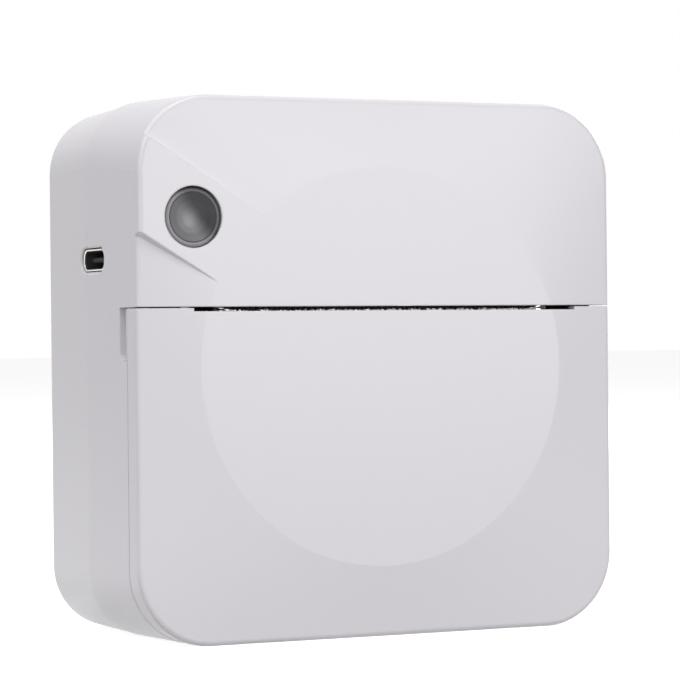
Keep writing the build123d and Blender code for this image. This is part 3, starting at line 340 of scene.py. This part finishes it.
def zinc_plated_steel():
    """Zinc-plated sheet and screws: pale, with the soft clouds of the plating."""
    material, tree, shader, place = new_finish("zinc_plated_steel")
    clouds = add(tree, "ShaderNodeTexNoise", {"Vector": place, "Scale": 1 / (3.5 * mm), "Detail": 4})
    dark = linear("#A5A7A8")
    tone = add(tree, "ShaderNodeMix", {"Factor": clouds, "A": dark, "B": linear("#C6C8CA")}, data_type="RGBA")
    dull = add(tree, "ShaderNodeMapRange", [clouds, 0.3, 0.7, 0.3, 0.46])
    # The sheet's rolled tooth is about 0.1 mm; drawn at 0.3 mm.
    tooth = add(tree, "ShaderNodeTexNoise", {"Vector": place, "Scale": 1 / (0.3 * mm)})
    relief = add(tree, "ShaderNodeBump", {"Height": tooth, "Distance": 0.004 * mm})
    plug(tree, shader, {"Base Color": tone, "Metallic": 1, "Roughness": dull, "Normal": relief})
    return material


def extruded_aluminium():
    """Mill-finish aluminium of the head's carrier: drawing lines along it, brighter than steel."""
    material, tree, shader, place = new_finish("extruded_aluminium")
    # Die lines are about 0.1 mm apart and run the whole length; drawn at 0.25 mm.
    along = add(tree, "ShaderNodeVectorMath", [place, (0.01, 1, 1)], operation="MULTIPLY")
    lines = add(tree, "ShaderNodeTexNoise", {"Vector": along, "Scale": 1 / (0.25 * mm)})
    dark = linear("#C4C5C7")
    tone = add(tree, "ShaderNodeMix", {"Factor": lines, "A": dark, "B": linear("#E0E1E2")}, data_type="RGBA")
    dull = add(tree, "ShaderNodeMapRange", [lines, 0.3, 0.7, 0.26, 0.4])
    relief = add(tree, "ShaderNodeBump", {"Height": lines, "Distance": 0.004 * mm})
    plug(tree, shader, {"Base Color": tone, "Metallic": 1, "Roughness": dull, "Normal": relief})
    return material


def drawn_spring_wire():
    """Cold-drawn spring wire: bright, with faint streaks of the die."""
    material, tree, shader, place = new_finish("drawn_spring_wire")
    streaks = add(tree, "ShaderNodeTexNoise", {"Vector": place, "Scale": 1 / (0.25 * mm)})
    dark = linear("#8F9092")
    pale = linear("#B4B5B7")
    tone = add(tree, "ShaderNodeMix", {"Factor": streaks, "A": dark, "B": pale}, data_type="RGBA")
    dull = add(tree, "ShaderNodeMapRange", [streaks, 0.3, 0.7, 0.2, 0.32])
    plug(tree, shader, {"Base Color": tone, "Metallic": 1, "Roughness": dull})
    return material


def glazed_alumina():
    """The head's plate: cream alumina, a glossy brown heater line, gold tracks and black sealed chips."""
    material, tree, shader, place = new_finish("glazed_alumina")
    low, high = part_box("print_head")
    roller_low, roller_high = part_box("platen_roller")
    heater_z = (roller_low.z + roller_high.z) / 2
    spot = add(tree, "ShaderNodeSeparateXYZ", [place]).outputs
    mottle = add(tree, "ShaderNodeTexNoise", {"Vector": place, "Scale": 1 / (0.5 * mm)})
    dark = linear("#DDD6C4")
    cream = linear("#E9E3D3")
    brown = linear("#6E4A2C")
    gilt = linear("#C9A24A")
    black = linear("#1C1C1D")
    alumina = add(tree, "ShaderNodeMix", {"Factor": mottle, "A": dark, "B": cream}, data_type="RGBA")
    # The heater line is 1 mm tall and lies where the roller presses.
    half_line = 0.5 * mm
    heater = add(tree, "ShaderNodeMath", [spot["Z"], heater_z, half_line], operation="COMPARE")
    glaze = add(tree, "ShaderNodeMix", {"Factor": heater, "A": alumina, "B": brown}, data_type="RGBA")
    # Tracks are 0.125 mm apart; drawn at 0.6 mm, from the heater up to the chips.
    tracks_low = heater_z + half_line
    tracks_high = high.z - 3.2 * mm
    middle = (tracks_low + tracks_high) / 2
    reach = (tracks_high - tracks_low) / 2
    field = add(tree, "ShaderNodeMath", [spot["Z"], middle, reach], operation="COMPARE")
    pitch = add(tree, "ShaderNodeMath", [spot["X"], 0.6 * mm], operation="PINGPONG")
    line = add(tree, "ShaderNodeMath", [pitch, 0.3 * mm], operation="GREATER_THAN")
    gold = add(tree, "ShaderNodeMath", [field, line], operation="MULTIPLY")
    tracked = add(tree, "ShaderNodeMix", {"Factor": gold, "A": glaze, "B": gilt}, data_type="RGBA")
    # The chips lie in one row along the top, and only their sealed lumps stand proud.
    row = add(tree, "ShaderNodeMath", [spot["Z"], high.z - 1.8 * mm, 1.2 * mm], operation="COMPARE")
    proud = add(tree, "ShaderNodeMath", [spot["Y"], low.y + 0.55 * mm], operation="LESS_THAN")
    sealed = add(tree, "ShaderNodeMath", [row, proud], operation="MULTIPLY")
    tone = add(tree, "ShaderNodeMix", {"Factor": sealed, "A": tracked, "B": black}, data_type="RGBA")
    glossy = add(tree, "ShaderNodeMath", [heater, sealed], operation="MAXIMUM")
    dull = add(tree, "ShaderNodeMapRange", [glossy, 0, 1, 0.35, 0.15])
    plug(tree, shader, {"Base Color": tone, "Roughness": dull, "IOR": 1.6})
    return material


def moulded_acetal(name, colour):
    """Acetal of gears and bearings: waxy, with a slick skin that dulls in patches."""
    material, tree, shader, place = new_finish(name)
    wax = add(tree, "ShaderNodeTexNoise", {"Vector": place, "Scale": 1 / (1.6 * mm)})
    dark = shade(colour, 0.9)
    tone = add(tree, "ShaderNodeMix", {"Factor": wax, "A": dark, "B": shade(colour, 1.05)}, data_type="RGBA")
    dull = add(tree, "ShaderNodeMapRange", [wax, 0.3, 0.7, 0.28, 0.38])
    # The sunken skin between gate marks waves over about 0.4 mm.
    skin = add(tree, "ShaderNodeTexNoise", {"Vector": place, "Scale": 1 / (0.4 * mm)})
    relief = add(tree, "ShaderNodeBump", {"Height": skin, "Distance": 0.004 * mm})
    plug(tree, shader, {"Base Color": tone, "Roughness": dull, "Normal": relief, "IOR": 1.48})
    return material


def ground_nitrile_rubber():
    """Nitrile rubber ground to size: dead matt, with the faint hoops of the stone."""
    inside = bpy.context.scene.printer_inside
    material, tree, shader, place = new_finish("ground_nitrile_rubber")
    # The stone's hoops are about 0.1 mm apart; drawn at 0.3 mm.
    round_it = add(tree, "ShaderNodeVectorMath", [place, (1, 0.1, 0.1)], operation="MULTIPLY")
    hoops = add(tree, "ShaderNodeTexNoise", {"Vector": round_it, "Scale": 1 / (0.3 * mm)})
    dark = shade(inside.rubber, 0.8)
    pale = shade(inside.rubber, 1.35)
    tone = add(tree, "ShaderNodeMix", {"Factor": hoops, "A": dark, "B": pale}, data_type="RGBA")
    dull = add(tree, "ShaderNodeMapRange", [hoops, 0.3, 0.7, 0.7, 0.82])
    relief = add(tree, "ShaderNodeBump", {"Height": hoops, "Distance": 0.02 * mm})
    plug(tree, shader, {"Base Color": tone, "Roughness": dull, "Normal": relief, "IOR": 1.52})
    return material


def green_solder_mask():
    """Glass-epoxy board under green solder mask: raised tracks and tinned pads show through its gloss."""
    inside = bpy.context.scene.printer_inside
    material, tree, shader, place = new_finish("green_solder_mask")
    # Tracks about 0.5 mm wide on a maze of 2.4 mm, and pads 0.8 mm across every 3 mm.
    maze = add(
        tree, "ShaderNodeTexVoronoi", {"Vector": place, "Scale": 1 / (2.4 * mm)}, feature="DISTANCE_TO_EDGE",
    )
    tracks = add(tree, "ShaderNodeMapRange", [maze, 0.1, 0.16, 1, 0])
    cells = add(tree, "ShaderNodeTexVoronoi", {"Vector": place, "Scale": 1 / (3.1 * mm), "Randomness": 0.4})
    pads = add(tree, "ShaderNodeMapRange", [cells.outputs["Distance"], 0.12, 0.15, 1, 0])
    bright = shade(inside.mask_green, 1.5)
    green = tuple(inside.mask_green)
    mask = add(tree, "ShaderNodeMix", {"Factor": tracks, "A": green, "B": bright}, data_type="RGBA")
    tone = add(tree, "ShaderNodeMix", {"Factor": pads, "A": mask, "B": linear("#C9CBCC")}, data_type="RGBA")
    height = add(tree, "ShaderNodeMath", [tracks, pads], operation="MAXIMUM")
    relief = add(tree, "ShaderNodeBump", {"Height": height, "Distance": 0.03 * mm})
    plug(tree, shader, {
        "Base Color": tone, "Metallic": pads, "Roughness": 0.3, "Normal": relief, "IOR": 1.55,
    })
    return material


def board_part_plastics():
    """Black epoxy chips with a dull skin, cream nylon plug sockets and one bright capacitor can."""
    material, tree, shader, place = new_finish("board_part_plastics")
    spot = add(tree, "ShaderNodeSeparateXYZ", [place]).outputs
    grain = add(tree, "ShaderNodeTexNoise", {"Vector": place, "Scale": 1 / (0.3 * mm)})
    dark = linear("#1B1B1C")
    epoxy = add(tree, "ShaderNodeMix", {"Factor": grain, "A": dark, "B": linear("#29292B")}, data_type="RGBA")
    # The plug sockets stand at the board's back, from -9.1 to 18.1 mm along it.
    behind = add(tree, "ShaderNodeMath", [spot["Y"], 8.4 * mm], operation="GREATER_THAN")
    between = add(tree, "ShaderNodeMath", [spot["X"], 4.5 * mm, 13.6 * mm], operation="COMPARE")
    plugs = add(tree, "ShaderNodeMath", [behind, between], operation="MULTIPLY")
    cream = linear("#E2DAC4")
    moulded = add(tree, "ShaderNodeMix", {"Factor": plugs, "A": epoxy, "B": cream}, data_type="RGBA")
    # The capacitor is 5 mm across, with its axis at x 24 mm and y 10.03 mm.
    flat = add(tree, "ShaderNodeVectorMath", [place, (1, 1, 0)], operation="MULTIPLY")
    out = add(tree, "ShaderNodeVectorMath", [flat, (24 * mm, 10.03 * mm, 0)], operation="DISTANCE")
    can = add(tree, "ShaderNodeMath", [out, 2.6 * mm], operation="LESS_THAN")
    tone = add(tree, "ShaderNodeMix", {"Factor": can, "A": moulded, "B": linear("#BFC1C3")}, data_type="RGBA")
    relief = add(tree, "ShaderNodeBump", {"Height": grain, "Distance": 0.01 * mm})
    plug(tree, shader, {
        "Base Color": tone, "Metallic": can, "Roughness": 0.45, "Normal": relief, "IOR": 1.55,
    })
    return material


def nickel_plated_shell():
    """Nickel on rolled sheet: bright and warm, with the small clouds of the bath."""
    material, tree, shader, place = new_finish("nickel_plated_shell")
    clouds = add(tree, "ShaderNodeTexNoise", {"Vector": place, "Scale": 1 / (0.7 * mm), "Detail": 3})
    dark = linear("#C9C6BE")
    tone = add(tree, "ShaderNodeMix", {"Factor": clouds, "A": dark, "B": linear("#E2DFD8")}, data_type="RGBA")
    dull = add(tree, "ShaderNodeMapRange", [clouds, 0.3, 0.7, 0.16, 0.28])
    plug(tree, shader, {"Base Color": tone, "Metallic": 1, "Roughness": dull})
    return material


def gold_plated_contacts():
    """Hard gold on the socket's contacts: small warm glints."""
    material, tree, shader, place = new_finish("gold_plated_contacts")
    wear = add(tree, "ShaderNodeTexNoise", {"Vector": place, "Scale": 1 / (0.3 * mm)})
    dark = linear("#C79A3E")
    tone = add(tree, "ShaderNodeMix", {"Factor": wear, "A": dark, "B": linear("#E3BC63")}, data_type="RGBA")
    plug(tree, shader, {"Base Color": tone, "Metallic": 1, "Roughness": 0.22})
    return material


def battery_pouch():
    """Aluminium-foil battery pouch: silky grey with soft dents, and glossy amber tape round its ends."""
    inside = bpy.context.scene.printer_inside
    material, tree, shader, place = new_finish("foil_pouch")
    low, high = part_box("battery")
    spot = add(tree, "ShaderNodeSeparateXYZ", [place]).outputs
    # Tape covers 6 mm at each end.
    bare = (high.x - low.x) / 2 - 6 * mm
    foil_field = add(tree, "ShaderNodeMath", [spot["X"], (low.x + high.x) / 2, bare], operation="COMPARE")
    dents = add(tree, "ShaderNodeTexNoise", {"Vector": place, "Scale": 1 / (9 * mm)})
    dark = shade(inside.foil, 0.9)
    pale = shade(inside.foil, 1.08)
    foil = add(tree, "ShaderNodeMix", {"Factor": dents, "A": dark, "B": pale}, data_type="RGBA")
    tape = tuple(inside.tape)
    tone = add(tree, "ShaderNodeMix", {"Factor": foil_field, "A": tape, "B": foil}, data_type="RGBA")
    metal = add(tree, "ShaderNodeMapRange", [foil_field, 0, 1, 0, 0.6])
    dull = add(tree, "ShaderNodeMapRange", [foil_field, 0, 1, 0.24, 0.36])
    relief = add(tree, "ShaderNodeBump", {"Height": dents, "Distance": 0.25 * mm})
    plug(tree, shader, {"Base Color": tone, "Metallic": metal, "Roughness": dull, "Normal": relief})
    return material


def nickel_plated_can():
    """The motor: a drawn, nickel-plated can with faint rings, and a black moulded lead block at its end."""
    material, tree, shader, place = new_finish("nickel_plated_can")
    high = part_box("stepper_motor")[1]
    spot = add(tree, "ShaderNodeSeparateXYZ", [place]).outputs
    block = add(tree, "ShaderNodeMath", [spot["X"], high.x - 1.75 * mm], operation="GREATER_THAN")
    # Drawing rings are about 0.15 mm apart; drawn at 0.4 mm.
    round_it = add(tree, "ShaderNodeVectorMath", [place, (1, 0.05, 0.05)], operation="MULTIPLY")
    rings = add(tree, "ShaderNodeTexNoise", {"Vector": round_it, "Scale": 1 / (0.4 * mm)})
    dark = linear("#AEAFB0")
    pale = linear("#CCCDCE")
    black = linear("#202021")
    plated = add(tree, "ShaderNodeMix", {"Factor": rings, "A": dark, "B": pale}, data_type="RGBA")
    tone = add(tree, "ShaderNodeMix", {"Factor": block, "A": plated, "B": black}, data_type="RGBA")
    metal = add(tree, "ShaderNodeMapRange", [block, 0, 1, 1, 0])
    dull = add(tree, "ShaderNodeMapRange", [rings, 0.3, 0.7, 0.24, 0.36])
    plug(tree, shader, {"Base Color": tone, "Metallic": metal, "Roughness": dull})
    return material


def black_moulded_nylon():
    """Small black mouldings, such as the gear plate and the switch: dull, with a tight grain."""
    material, tree, shader, place = new_finish("black_moulded_nylon")
    # Grain about 0.15 mm across; drawn at 0.35 mm.
    grain = add(tree, "ShaderNodeTexNoise", {"Vector": place, "Scale": 1 / (0.35 * mm)})
    dark = linear("#171718")
    tone = add(tree, "ShaderNodeMix", {"Factor": grain, "A": dark, "B": linear("#262627")}, data_type="RGBA")
    dull = add(tree, "ShaderNodeMapRange", [grain, 0.3, 0.7, 0.5, 0.62])
    relief = add(tree, "ShaderNodeBump", {"Height": grain, "Distance": 0.008 * mm})
    plug(tree, shader, {
        "Base Color": tone, "Roughness": dull, "Normal": relief, "IOR": 1.53, "Specular IOR Level": 0.2,
    })
    return material


def dress(material, *names):
    """Gives CAD nodes a finish."""
    for name in names:
        mesh = nodes[name].data
        mesh.materials.clear()
        mesh.materials.append(material)


def free_piece(name, mesh, body, *materials):
    """A new object of the scene that rides on a CAD body."""
    piece = bpy.data.objects.new(name, mesh)
    bpy.context.scene.collection.objects.link(piece)
    for material in materials:
        mesh.materials.append(material)
    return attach(piece, body)


class PrinterOperator(bpy.types.Operator):
    """Shared settings of the printer's operators."""

    bl_options = {"REGISTER", "UNDO"}


class PRINTER_OT_case(PrinterOperator):
    """Finish the two case halves and the lid"""

    bl_idname = "printer.case"
    bl_label = "Case and Lid"

    def execute(self, context):
        dress(spark_grained_abs(), "front_housing", "rear_shell", "lid")
        return {"FINISHED"}


class PRINTER_OT_button(PrinterOperator):
    """Finish the power button"""

    bl_idname = "printer.button"
    bl_label = "Power Button"

    def execute(self, context):
        dress(smoked_polycarbonate(), "power_button")
        return {"FINISHED"}


class PRINTER_OT_mouldings(PrinterOperator):
    """Finish the roll bay, the lid's liner, the tear strip and the small black mouldings"""

    bl_idname = "printer.mouldings"
    bl_label = "Inner Mouldings"

    def execute(self, context):
        dress(matt_charcoal_abs(), "paper_bay", "lid_liner")
        dress(steel_edged_nylon(), "tear_bar")
        dress(black_moulded_nylon(), "gear_cover", "switch_stem", "tact_switch", "paper_sensor")
        return {"FINISHED"}


class PRINTER_OT_steel(PrinterOperator):
    """Finish shafts, pins, posts, screws, the engine's frame and the motor"""

    bl_idname = "printer.steel"
    bl_label = "Steel Pieces"

    def execute(self, context):
        dress(ground_steel(), "hinge_pins", "platen_shaft", "motor_shaft", "head_rod", "gear_posts")
        screws = ("case_screws", "engine_screws", "board_screws", "liner_screws")
        dress(zinc_plated_steel(), "engine_frame", *screws)
        dress(nickel_plated_can(), "stepper_motor")
        return {"FINISHED"}


class PRINTER_OT_platen(PrinterOperator):
    """Finish the platen's rubber, the gears and the bearings"""

    bl_idname = "printer.platen"
    bl_label = "Platen and Gears"

    def execute(self, context):
        dress(ground_nitrile_rubber(), "platen_roller")
        natural = moulded_acetal("natural_acetal", context.scene.printer_inside.acetal)
        dress(natural, "platen_gear", "idler_gear", "reduction_gear", "motor_pinion")
        dress(moulded_acetal("black_acetal", linear("#262627")), "platen_bushings")
        return {"FINISHED"}


class PRINTER_OT_head(PrinterOperator):
    """Finish the print head and its carrier"""

    bl_idname = "printer.head"
    bl_label = "Print Head"

    def execute(self, context):
        dress(glazed_alumina(), "print_head")
        dress(extruded_aluminium(), "head_sink")
        return {"FINISHED"}


class PRINTER_OT_springs(PrinterOperator):
    """Wind the two springs behind the print head"""

    bl_idname = "printer.springs"
    bl_label = "Head Springs"

    def execute(self, context):
        inside = context.scene.printer_inside
        material = drawn_spring_wire()
        dress(material, "head_springs")
        low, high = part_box("head_springs")
        outer = (high.z - low.z) / 2
        radius = outer - inside.coil_wire / 2
        for side, x in (("left", low.x + outer), ("right", high.x - outer)):
            start = Vector((x, low.y + inside.coil_wire / 2, (low.z + high.z) / 2))
            end = Vector((x, high.y - inside.coil_wire / 2, start.z))
            coil = self.coil(start, end, radius, inside.coil_wire, inside.coil_turns)
            piece = free_piece("head_spring_" + side, coil, "case", material)
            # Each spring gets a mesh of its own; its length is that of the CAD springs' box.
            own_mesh(piece)
            if side == "left":
                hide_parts("head_springs")
        return {"FINISHED"}

    def coil(self, start, end, radius, wire, turns):
        """A wire wound about the line from start to end, along Y, with one flat turn at each end."""
        steps = 24
        sides = 8
        total = steps * turns
        flat = 1 / turns
        mesh = bpy.data.meshes.new("coil")
        build = bmesh.new()
        rings = []
        for i in range(total + 1):
            rise = min(max((i / total - flat) / (1 - 2 * flat), 0), 1)
            angle = 2 * math.pi * i / steps
            out = Vector((math.cos(angle), 0, math.sin(angle)))
            centre = start.lerp(end, rise) + out * radius
            ring = []
            for j in range(sides):
                turn = 2 * math.pi * j / sides
                offset = out * math.cos(turn) + Vector((0, 1, 0)) * math.sin(turn)
                ring.append(build.verts.new(centre + offset * wire / 2))
            rings.append(ring)
        for first, second in zip(rings, rings[1:]):
            for j in range(sides):
                k = (j + 1) % sides
                build.faces.new((first[j], first[k], second[k], second[j]))
        build.faces.new(rings[0][::-1])
        build.faces.new(rings[-1])
        bmesh.ops.recalc_face_normals(build, faces=build.faces)
        for face in build.faces:
            face.smooth = True
        build.to_mesh(mesh)
        build.free()
        return mesh


class PRINTER_OT_socket(PrinterOperator):
    """Roll the charging socket's shell with its lip, and set the tongue and contacts in it"""

    bl_idname = "printer.socket"
    bl_label = "Charging Socket"

    def execute(self, context):
        inside = context.scene.printer_inside
        low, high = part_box("charging_port")
        build = bmesh.new()
        self.shell(build, low, high, inside)
        self.tongue(build, low, high, inside)
        bmesh.ops.recalc_face_normals(build, faces=build.faces)
        mesh = bpy.data.meshes.new("charging_socket")
        build.to_mesh(mesh)
        build.free()
        nickel = nickel_plated_shell()
        dress(nickel, "charging_port")
        finishes = (nickel, black_moulded_nylon(), gold_plated_contacts())
        piece = free_piece("charging_socket", mesh, "case", *finishes)
        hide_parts("charging_port")
        return {"FINISHED"}

    def shell(self, build, low, high, inside):
        """A flat tube with round ends, its lip rolled over and its back closed."""
        wide = (high.y - low.y) / 2
        tall = (high.z - low.z) / 2
        mouth = low.x - inside.lip_reach
        back = high.x - 1 * mm
        sheet = inside.sheet
        flare = inside.lip_flare
        # Each station: its place along the tube, how far it lies inside the tube's outline, its finish.
        stations = (
            (high.x, 0, 0), (mouth + 3 * flare, 0, 0), (mouth + 1.2 * flare, -0.85 * flare, 0),
            (mouth + 0.3 * sheet, -flare, 0), (mouth, 0.3 * sheet - flare, 0),
            (mouth, 0.7 * sheet - flare, 0), (mouth + 0.3 * sheet, sheet - flare, 0),
            (mouth + 3 * flare, sheet, 1), (back, sheet, 1),
        )
        # The tube's corners are rounded to 0.84 of its half height.
        corner_radius = 0.84 * tall
        steps = 10
        rings = []
        for x, inset, _ in stations:
            radius = corner_radius - inset
            ring = []
            for corner, (side_y, side_z) in enumerate(((1, 1), (-1, 1), (-1, -1), (1, -1))):
                centre_y = (low.y + high.y) / 2 + side_y * (wide - inset - radius)
                centre_z = (low.z + high.z) / 2 + side_z * (tall - inset - radius)
                for i in range(steps):
                    angle = math.pi / 2 * (corner + i / (steps - 1))
                    y = centre_y + radius * math.cos(angle)
                    z = centre_z + radius * math.sin(angle)
                    ring.append(build.verts.new((x, y, z)))
            rings.append(ring)
        for first, second, (_, _, finish) in zip(rings, rings[1:], stations[1:]):
            for j, vertex in enumerate(first):
                k = (j + 1) % len(first)
                face = build.faces.new((vertex, first[k], second[k], second[j]))
                face.smooth = True
                face.material_index = finish
        build.faces.new(rings[0])
        # The tube's floor is a black moulding.
        build.faces.new(rings[-1]).material_index = 1

    def tongue(self, build, low, high, inside):
        """The black tongue, with a row of contacts on its upper and lower face."""
        middle = (low + high) / 2
        # A tongue of the usual kind, 6.7 mm wide and 0.7 mm thick, with 12 contacts on each face.
        size = Vector((high.x - 1 * mm - low.x, 6.7 * mm, 0.7 * mm))
        centre = Vector((low.x + size.x / 2 + 0.2 * mm, middle.y, middle.z))
        self.block(build, centre, size, 1)
        contacts = 12
        contact = Vector((3.6 * mm, 0.25 * mm, 0.06 * mm))
        for i in range(contacts):
            y = middle.y + (i - (contacts - 1) / 2) * inside.contact_pitch
            for side in (-1, 1):
                spot = Vector((centre.x + 0.5 * mm, y, middle.z + side * 0.36 * mm))
                self.block(build, spot, contact, 2)

    def block(self, build, centre, size, finish):
        """A small block with bevelled edges."""
        made = bmesh.ops.create_cube(build, size=1, matrix=Matrix.LocRotScale(centre, None, size))
        faces = {face for vertex in made["verts"] for face in vertex.link_faces}
        for face in faces:
            face.material_index = finish
        edges = list({edge for face in faces for edge in face.edges})
        bmesh.ops.bevel(build, geom=edges, offset=size.z * 0.3, segments=2, affect="EDGES", material=-1)


class PRINTER_OT_boards(PrinterOperator):
    """Finish the boards, their parts and the battery"""

    bl_idname = "printer.boards"
    bl_label = "Boards and Battery"

    def execute(self, context):
        dress(green_solder_mask(), "main_board", "button_board")
        dress(board_part_plastics(), "board_parts")
        dress(battery_pouch(), "battery")
        return {"FINISHED"}


class PRINTER_OT_stage(PrinterOperator):
    """Set out the light table, the soft boxes and the camera"""

    bl_idname = "printer.stage"
    bl_label = "Stage"

    def execute(self, context):
        scene = context.scene
        stage = scene.printer_stage
        scene.view_settings.view_transform = "Standard"
        self.room(scene, stage)
        self.table(scene, stage)
        # Each soft box: its name, turn and rise in degrees, width and height in metres, and power.
        boxes = (
            ("key_box", -10, 65, 1.0, 0.6, stage.key_power),
            ("left_box", -60, 40, 1.0, 0.6, stage.left_power),
            ("low_left_box", -42, 10, 1.0, 0.5, stage.low_power),
            ("front_box", 25, 8, 0.55, 0.5, stage.front_power),
            ("back_box", 125, 25, 0.5, 0.6, stage.back_power),
        )
        for box in boxes:
            self.soft_box(scene, *box)
        self.camera(scene, stage)
        return {"FINISHED"}

    def seen(self, tree):
        """1 for rays that look at a thing, mirror it or pass through glass, 0 for those that gather light."""
        path = add(tree, "ShaderNodeLightPath").outputs
        glossy = path["Is Glossy Ray"]
        through = path["Is Transmission Ray"]
        passed = add(tree, "ShaderNodeMath", [glossy, through], operation="MAXIMUM")
        return add(tree, "ShaderNodeMath", [path["Is Camera Ray"], passed], operation="MAXIMUM")

    def room(self, scene, stage):
        """Even light all round, and a white room where it is looked at."""
        world = bpy.data.worlds.new("studio_room")
        scene.world = world
        world.use_nodes = True
        tree = world.node_tree
        tree.nodes.clear()
        level = add(tree, "ShaderNodeMapRange", [self.seen(tree), 0, 1, stage.ambient, 1])
        back = add(tree, "ShaderNodeBackground", {"Color": (1, 1, 1, 1), "Strength": level})
        add(tree, "ShaderNodeOutputWorld", {"Surface": back})

    def table(self, scene, stage):
        """A pale light table: it lights the lower edges from below and keeps a faint shadow."""
        half = 8.0
        mesh = bpy.data.meshes.new("light_table")
        # It lies just under the feet of the case, so that the two surfaces don't coincide.
        top = -0.02 * mm
        corners = [(-half, -half, top), (half, -half, top), (half, half, top), (-half, half, top)]
        mesh.from_pydata(corners, [], [(0, 1, 2, 3)])
        table = bpy.data.objects.new("light_table", mesh)
        scene.collection.objects.link(table)
        material = bpy.data.materials.new("opal_acrylic")
        material.use_nodes = True
        tree = material.node_tree
        tree.nodes.clear()
        seen = self.seen(tree)
        # Opal acrylic passes most of the room's light down, so that little of it comes back up.
        passing = shade(stage.floor, 0.06)
        tone = add(
            tree, "ShaderNodeMix", {"Factor": seen, "A": passing, "B": tuple(stage.floor)}, data_type="RGBA",
        )
        # Where it is looked at, this glow and the lamps' light on it together come to white.
        seen_glow = 0.72
        level = add(tree, "ShaderNodeMapRange", [seen, 0, 1, stage.floor_glow, seen_glow])
        skin = add(tree, "ShaderNodeBsdfDiffuse", {"Color": tone})
        glow = add(tree, "ShaderNodeEmission", {"Color": (1, 1, 1, 1), "Strength": level})
        whole = add(tree, "ShaderNodeAddShader", [skin, glow])
        add(tree, "ShaderNodeOutputMaterial", {"Surface": whole})
        mesh.materials.append(material)

    def soft_box(self, scene, name, turn, rise, wide, tall, power):
        """A soft box 1.4 m away, turned about the object and raised by degrees, aimed at its middle."""
        distance = 1.4
        aim = Vector((0, 0, 45 * mm))
        data = bpy.data.lights.new(name, "AREA")
        data.shape = "RECTANGLE"
        data.size = wide
        data.size_y = tall
        data.energy = power
        lamp = bpy.data.objects.new(name, data)
        scene.collection.objects.link(lamp)
        turn = math.radians(turn)
        rise = math.radians(rise)
        out = Vector((math.sin(turn) * math.cos(rise), -math.cos(turn) * math.cos(rise), math.sin(rise)))
        lamp.location = aim + out * distance
        lamp.rotation_mode = "QUATERNION"
        lamp.rotation_quaternion = (-out).to_track_quat("-Z", "Y")

    def camera(self, scene, stage):
        """The camera, level, turned to the right and rolled a little."""
        data = bpy.data.cameras.new("camera")
        data.lens = stage.lens
        data.sensor_width = 36.0
        data.clip_start = 0.01
        data.clip_end = 50.0
        camera = bpy.data.objects.new("camera", data)
        scene.collection.objects.link(camera)
        yaw = stage.camera_yaw
        roll = stage.camera_roll
        forward = Vector((math.sin(yaw), math.cos(yaw), 0))
        level_right = Vector((math.cos(yaw), -math.sin(yaw), 0))
        up = Vector((0, 0, 1))
        right = level_right * math.cos(roll) + up * math.sin(roll)
        tilted_up = -level_right * math.sin(roll) + up * math.cos(roll)
        turn = Matrix((right, tilted_up, -forward)).transposed().to_4x4()
        camera.matrix_world = Matrix.Translation(Vector(stage.camera_place)) @ turn
        scene.camera = camera


class PRINTER_PT_panel(bpy.types.Panel):
    """The printer's sizes, colours and builders"""

    bl_idname = "PRINTER_PT_panel"
    bl_label = "Thermal Printer"
    bl_space_type = "VIEW_3D"
    bl_region_type = "UI"
    bl_category = "Printer"

    def draw(self, context):
        layout = self.layout
        scene = context.scene
        for group in (scene.printer_case, scene.printer_inside, scene.printer_stage):
            column = layout.box().column()
            for name in group.__annotations__:
                column.prop(group, name)
        for operator in operators:
            layout.operator(operator.bl_idname)


operators = (
    PRINTER_OT_case,
    PRINTER_OT_button,
    PRINTER_OT_mouldings,
    PRINTER_OT_steel,
    PRINTER_OT_platen,
    PRINTER_OT_head,
    PRINTER_OT_springs,
    PRINTER_OT_socket,
    PRINTER_OT_boards,
    PRINTER_OT_stage,
)
groups = {"printer_case": PrinterCase, "printer_inside": PrinterInside, "printer_stage": PrinterStage}


def register():
    """Adds the settings, the operators and the panel."""
    for name, group in groups.items():
        bpy.utils.register_class(group)
        setattr(bpy.types.Scene, name, PointerProperty(type=group))
    for operator in operators:
        bpy.utils.register_class(operator)
    bpy.utils.register_class(PRINTER_PT_panel)


def unregister():
    """Takes away the panel, the operators and the settings."""
    bpy.utils.unregister_class(PRINTER_PT_panel)
    for operator in reversed(operators):
        bpy.utils.unregister_class(operator)
    for name, group in groups.items():
        delattr(bpy.types.Scene, name)
        bpy.utils.unregister_class(group)


def main():
    """Builds the whole printer on its stage."""
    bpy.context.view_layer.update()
    register()
    bpy.ops.printer.case()
    bpy.ops.printer.button()
    bpy.ops.printer.mouldings()
    bpy.ops.printer.steel()
    bpy.ops.printer.platen()
    bpy.ops.printer.head()
    bpy.ops.printer.springs()
    bpy.ops.printer.socket()
    bpy.ops.printer.boards()
    bpy.ops.printer.stage()


if __name__ == "__main__":
    main()
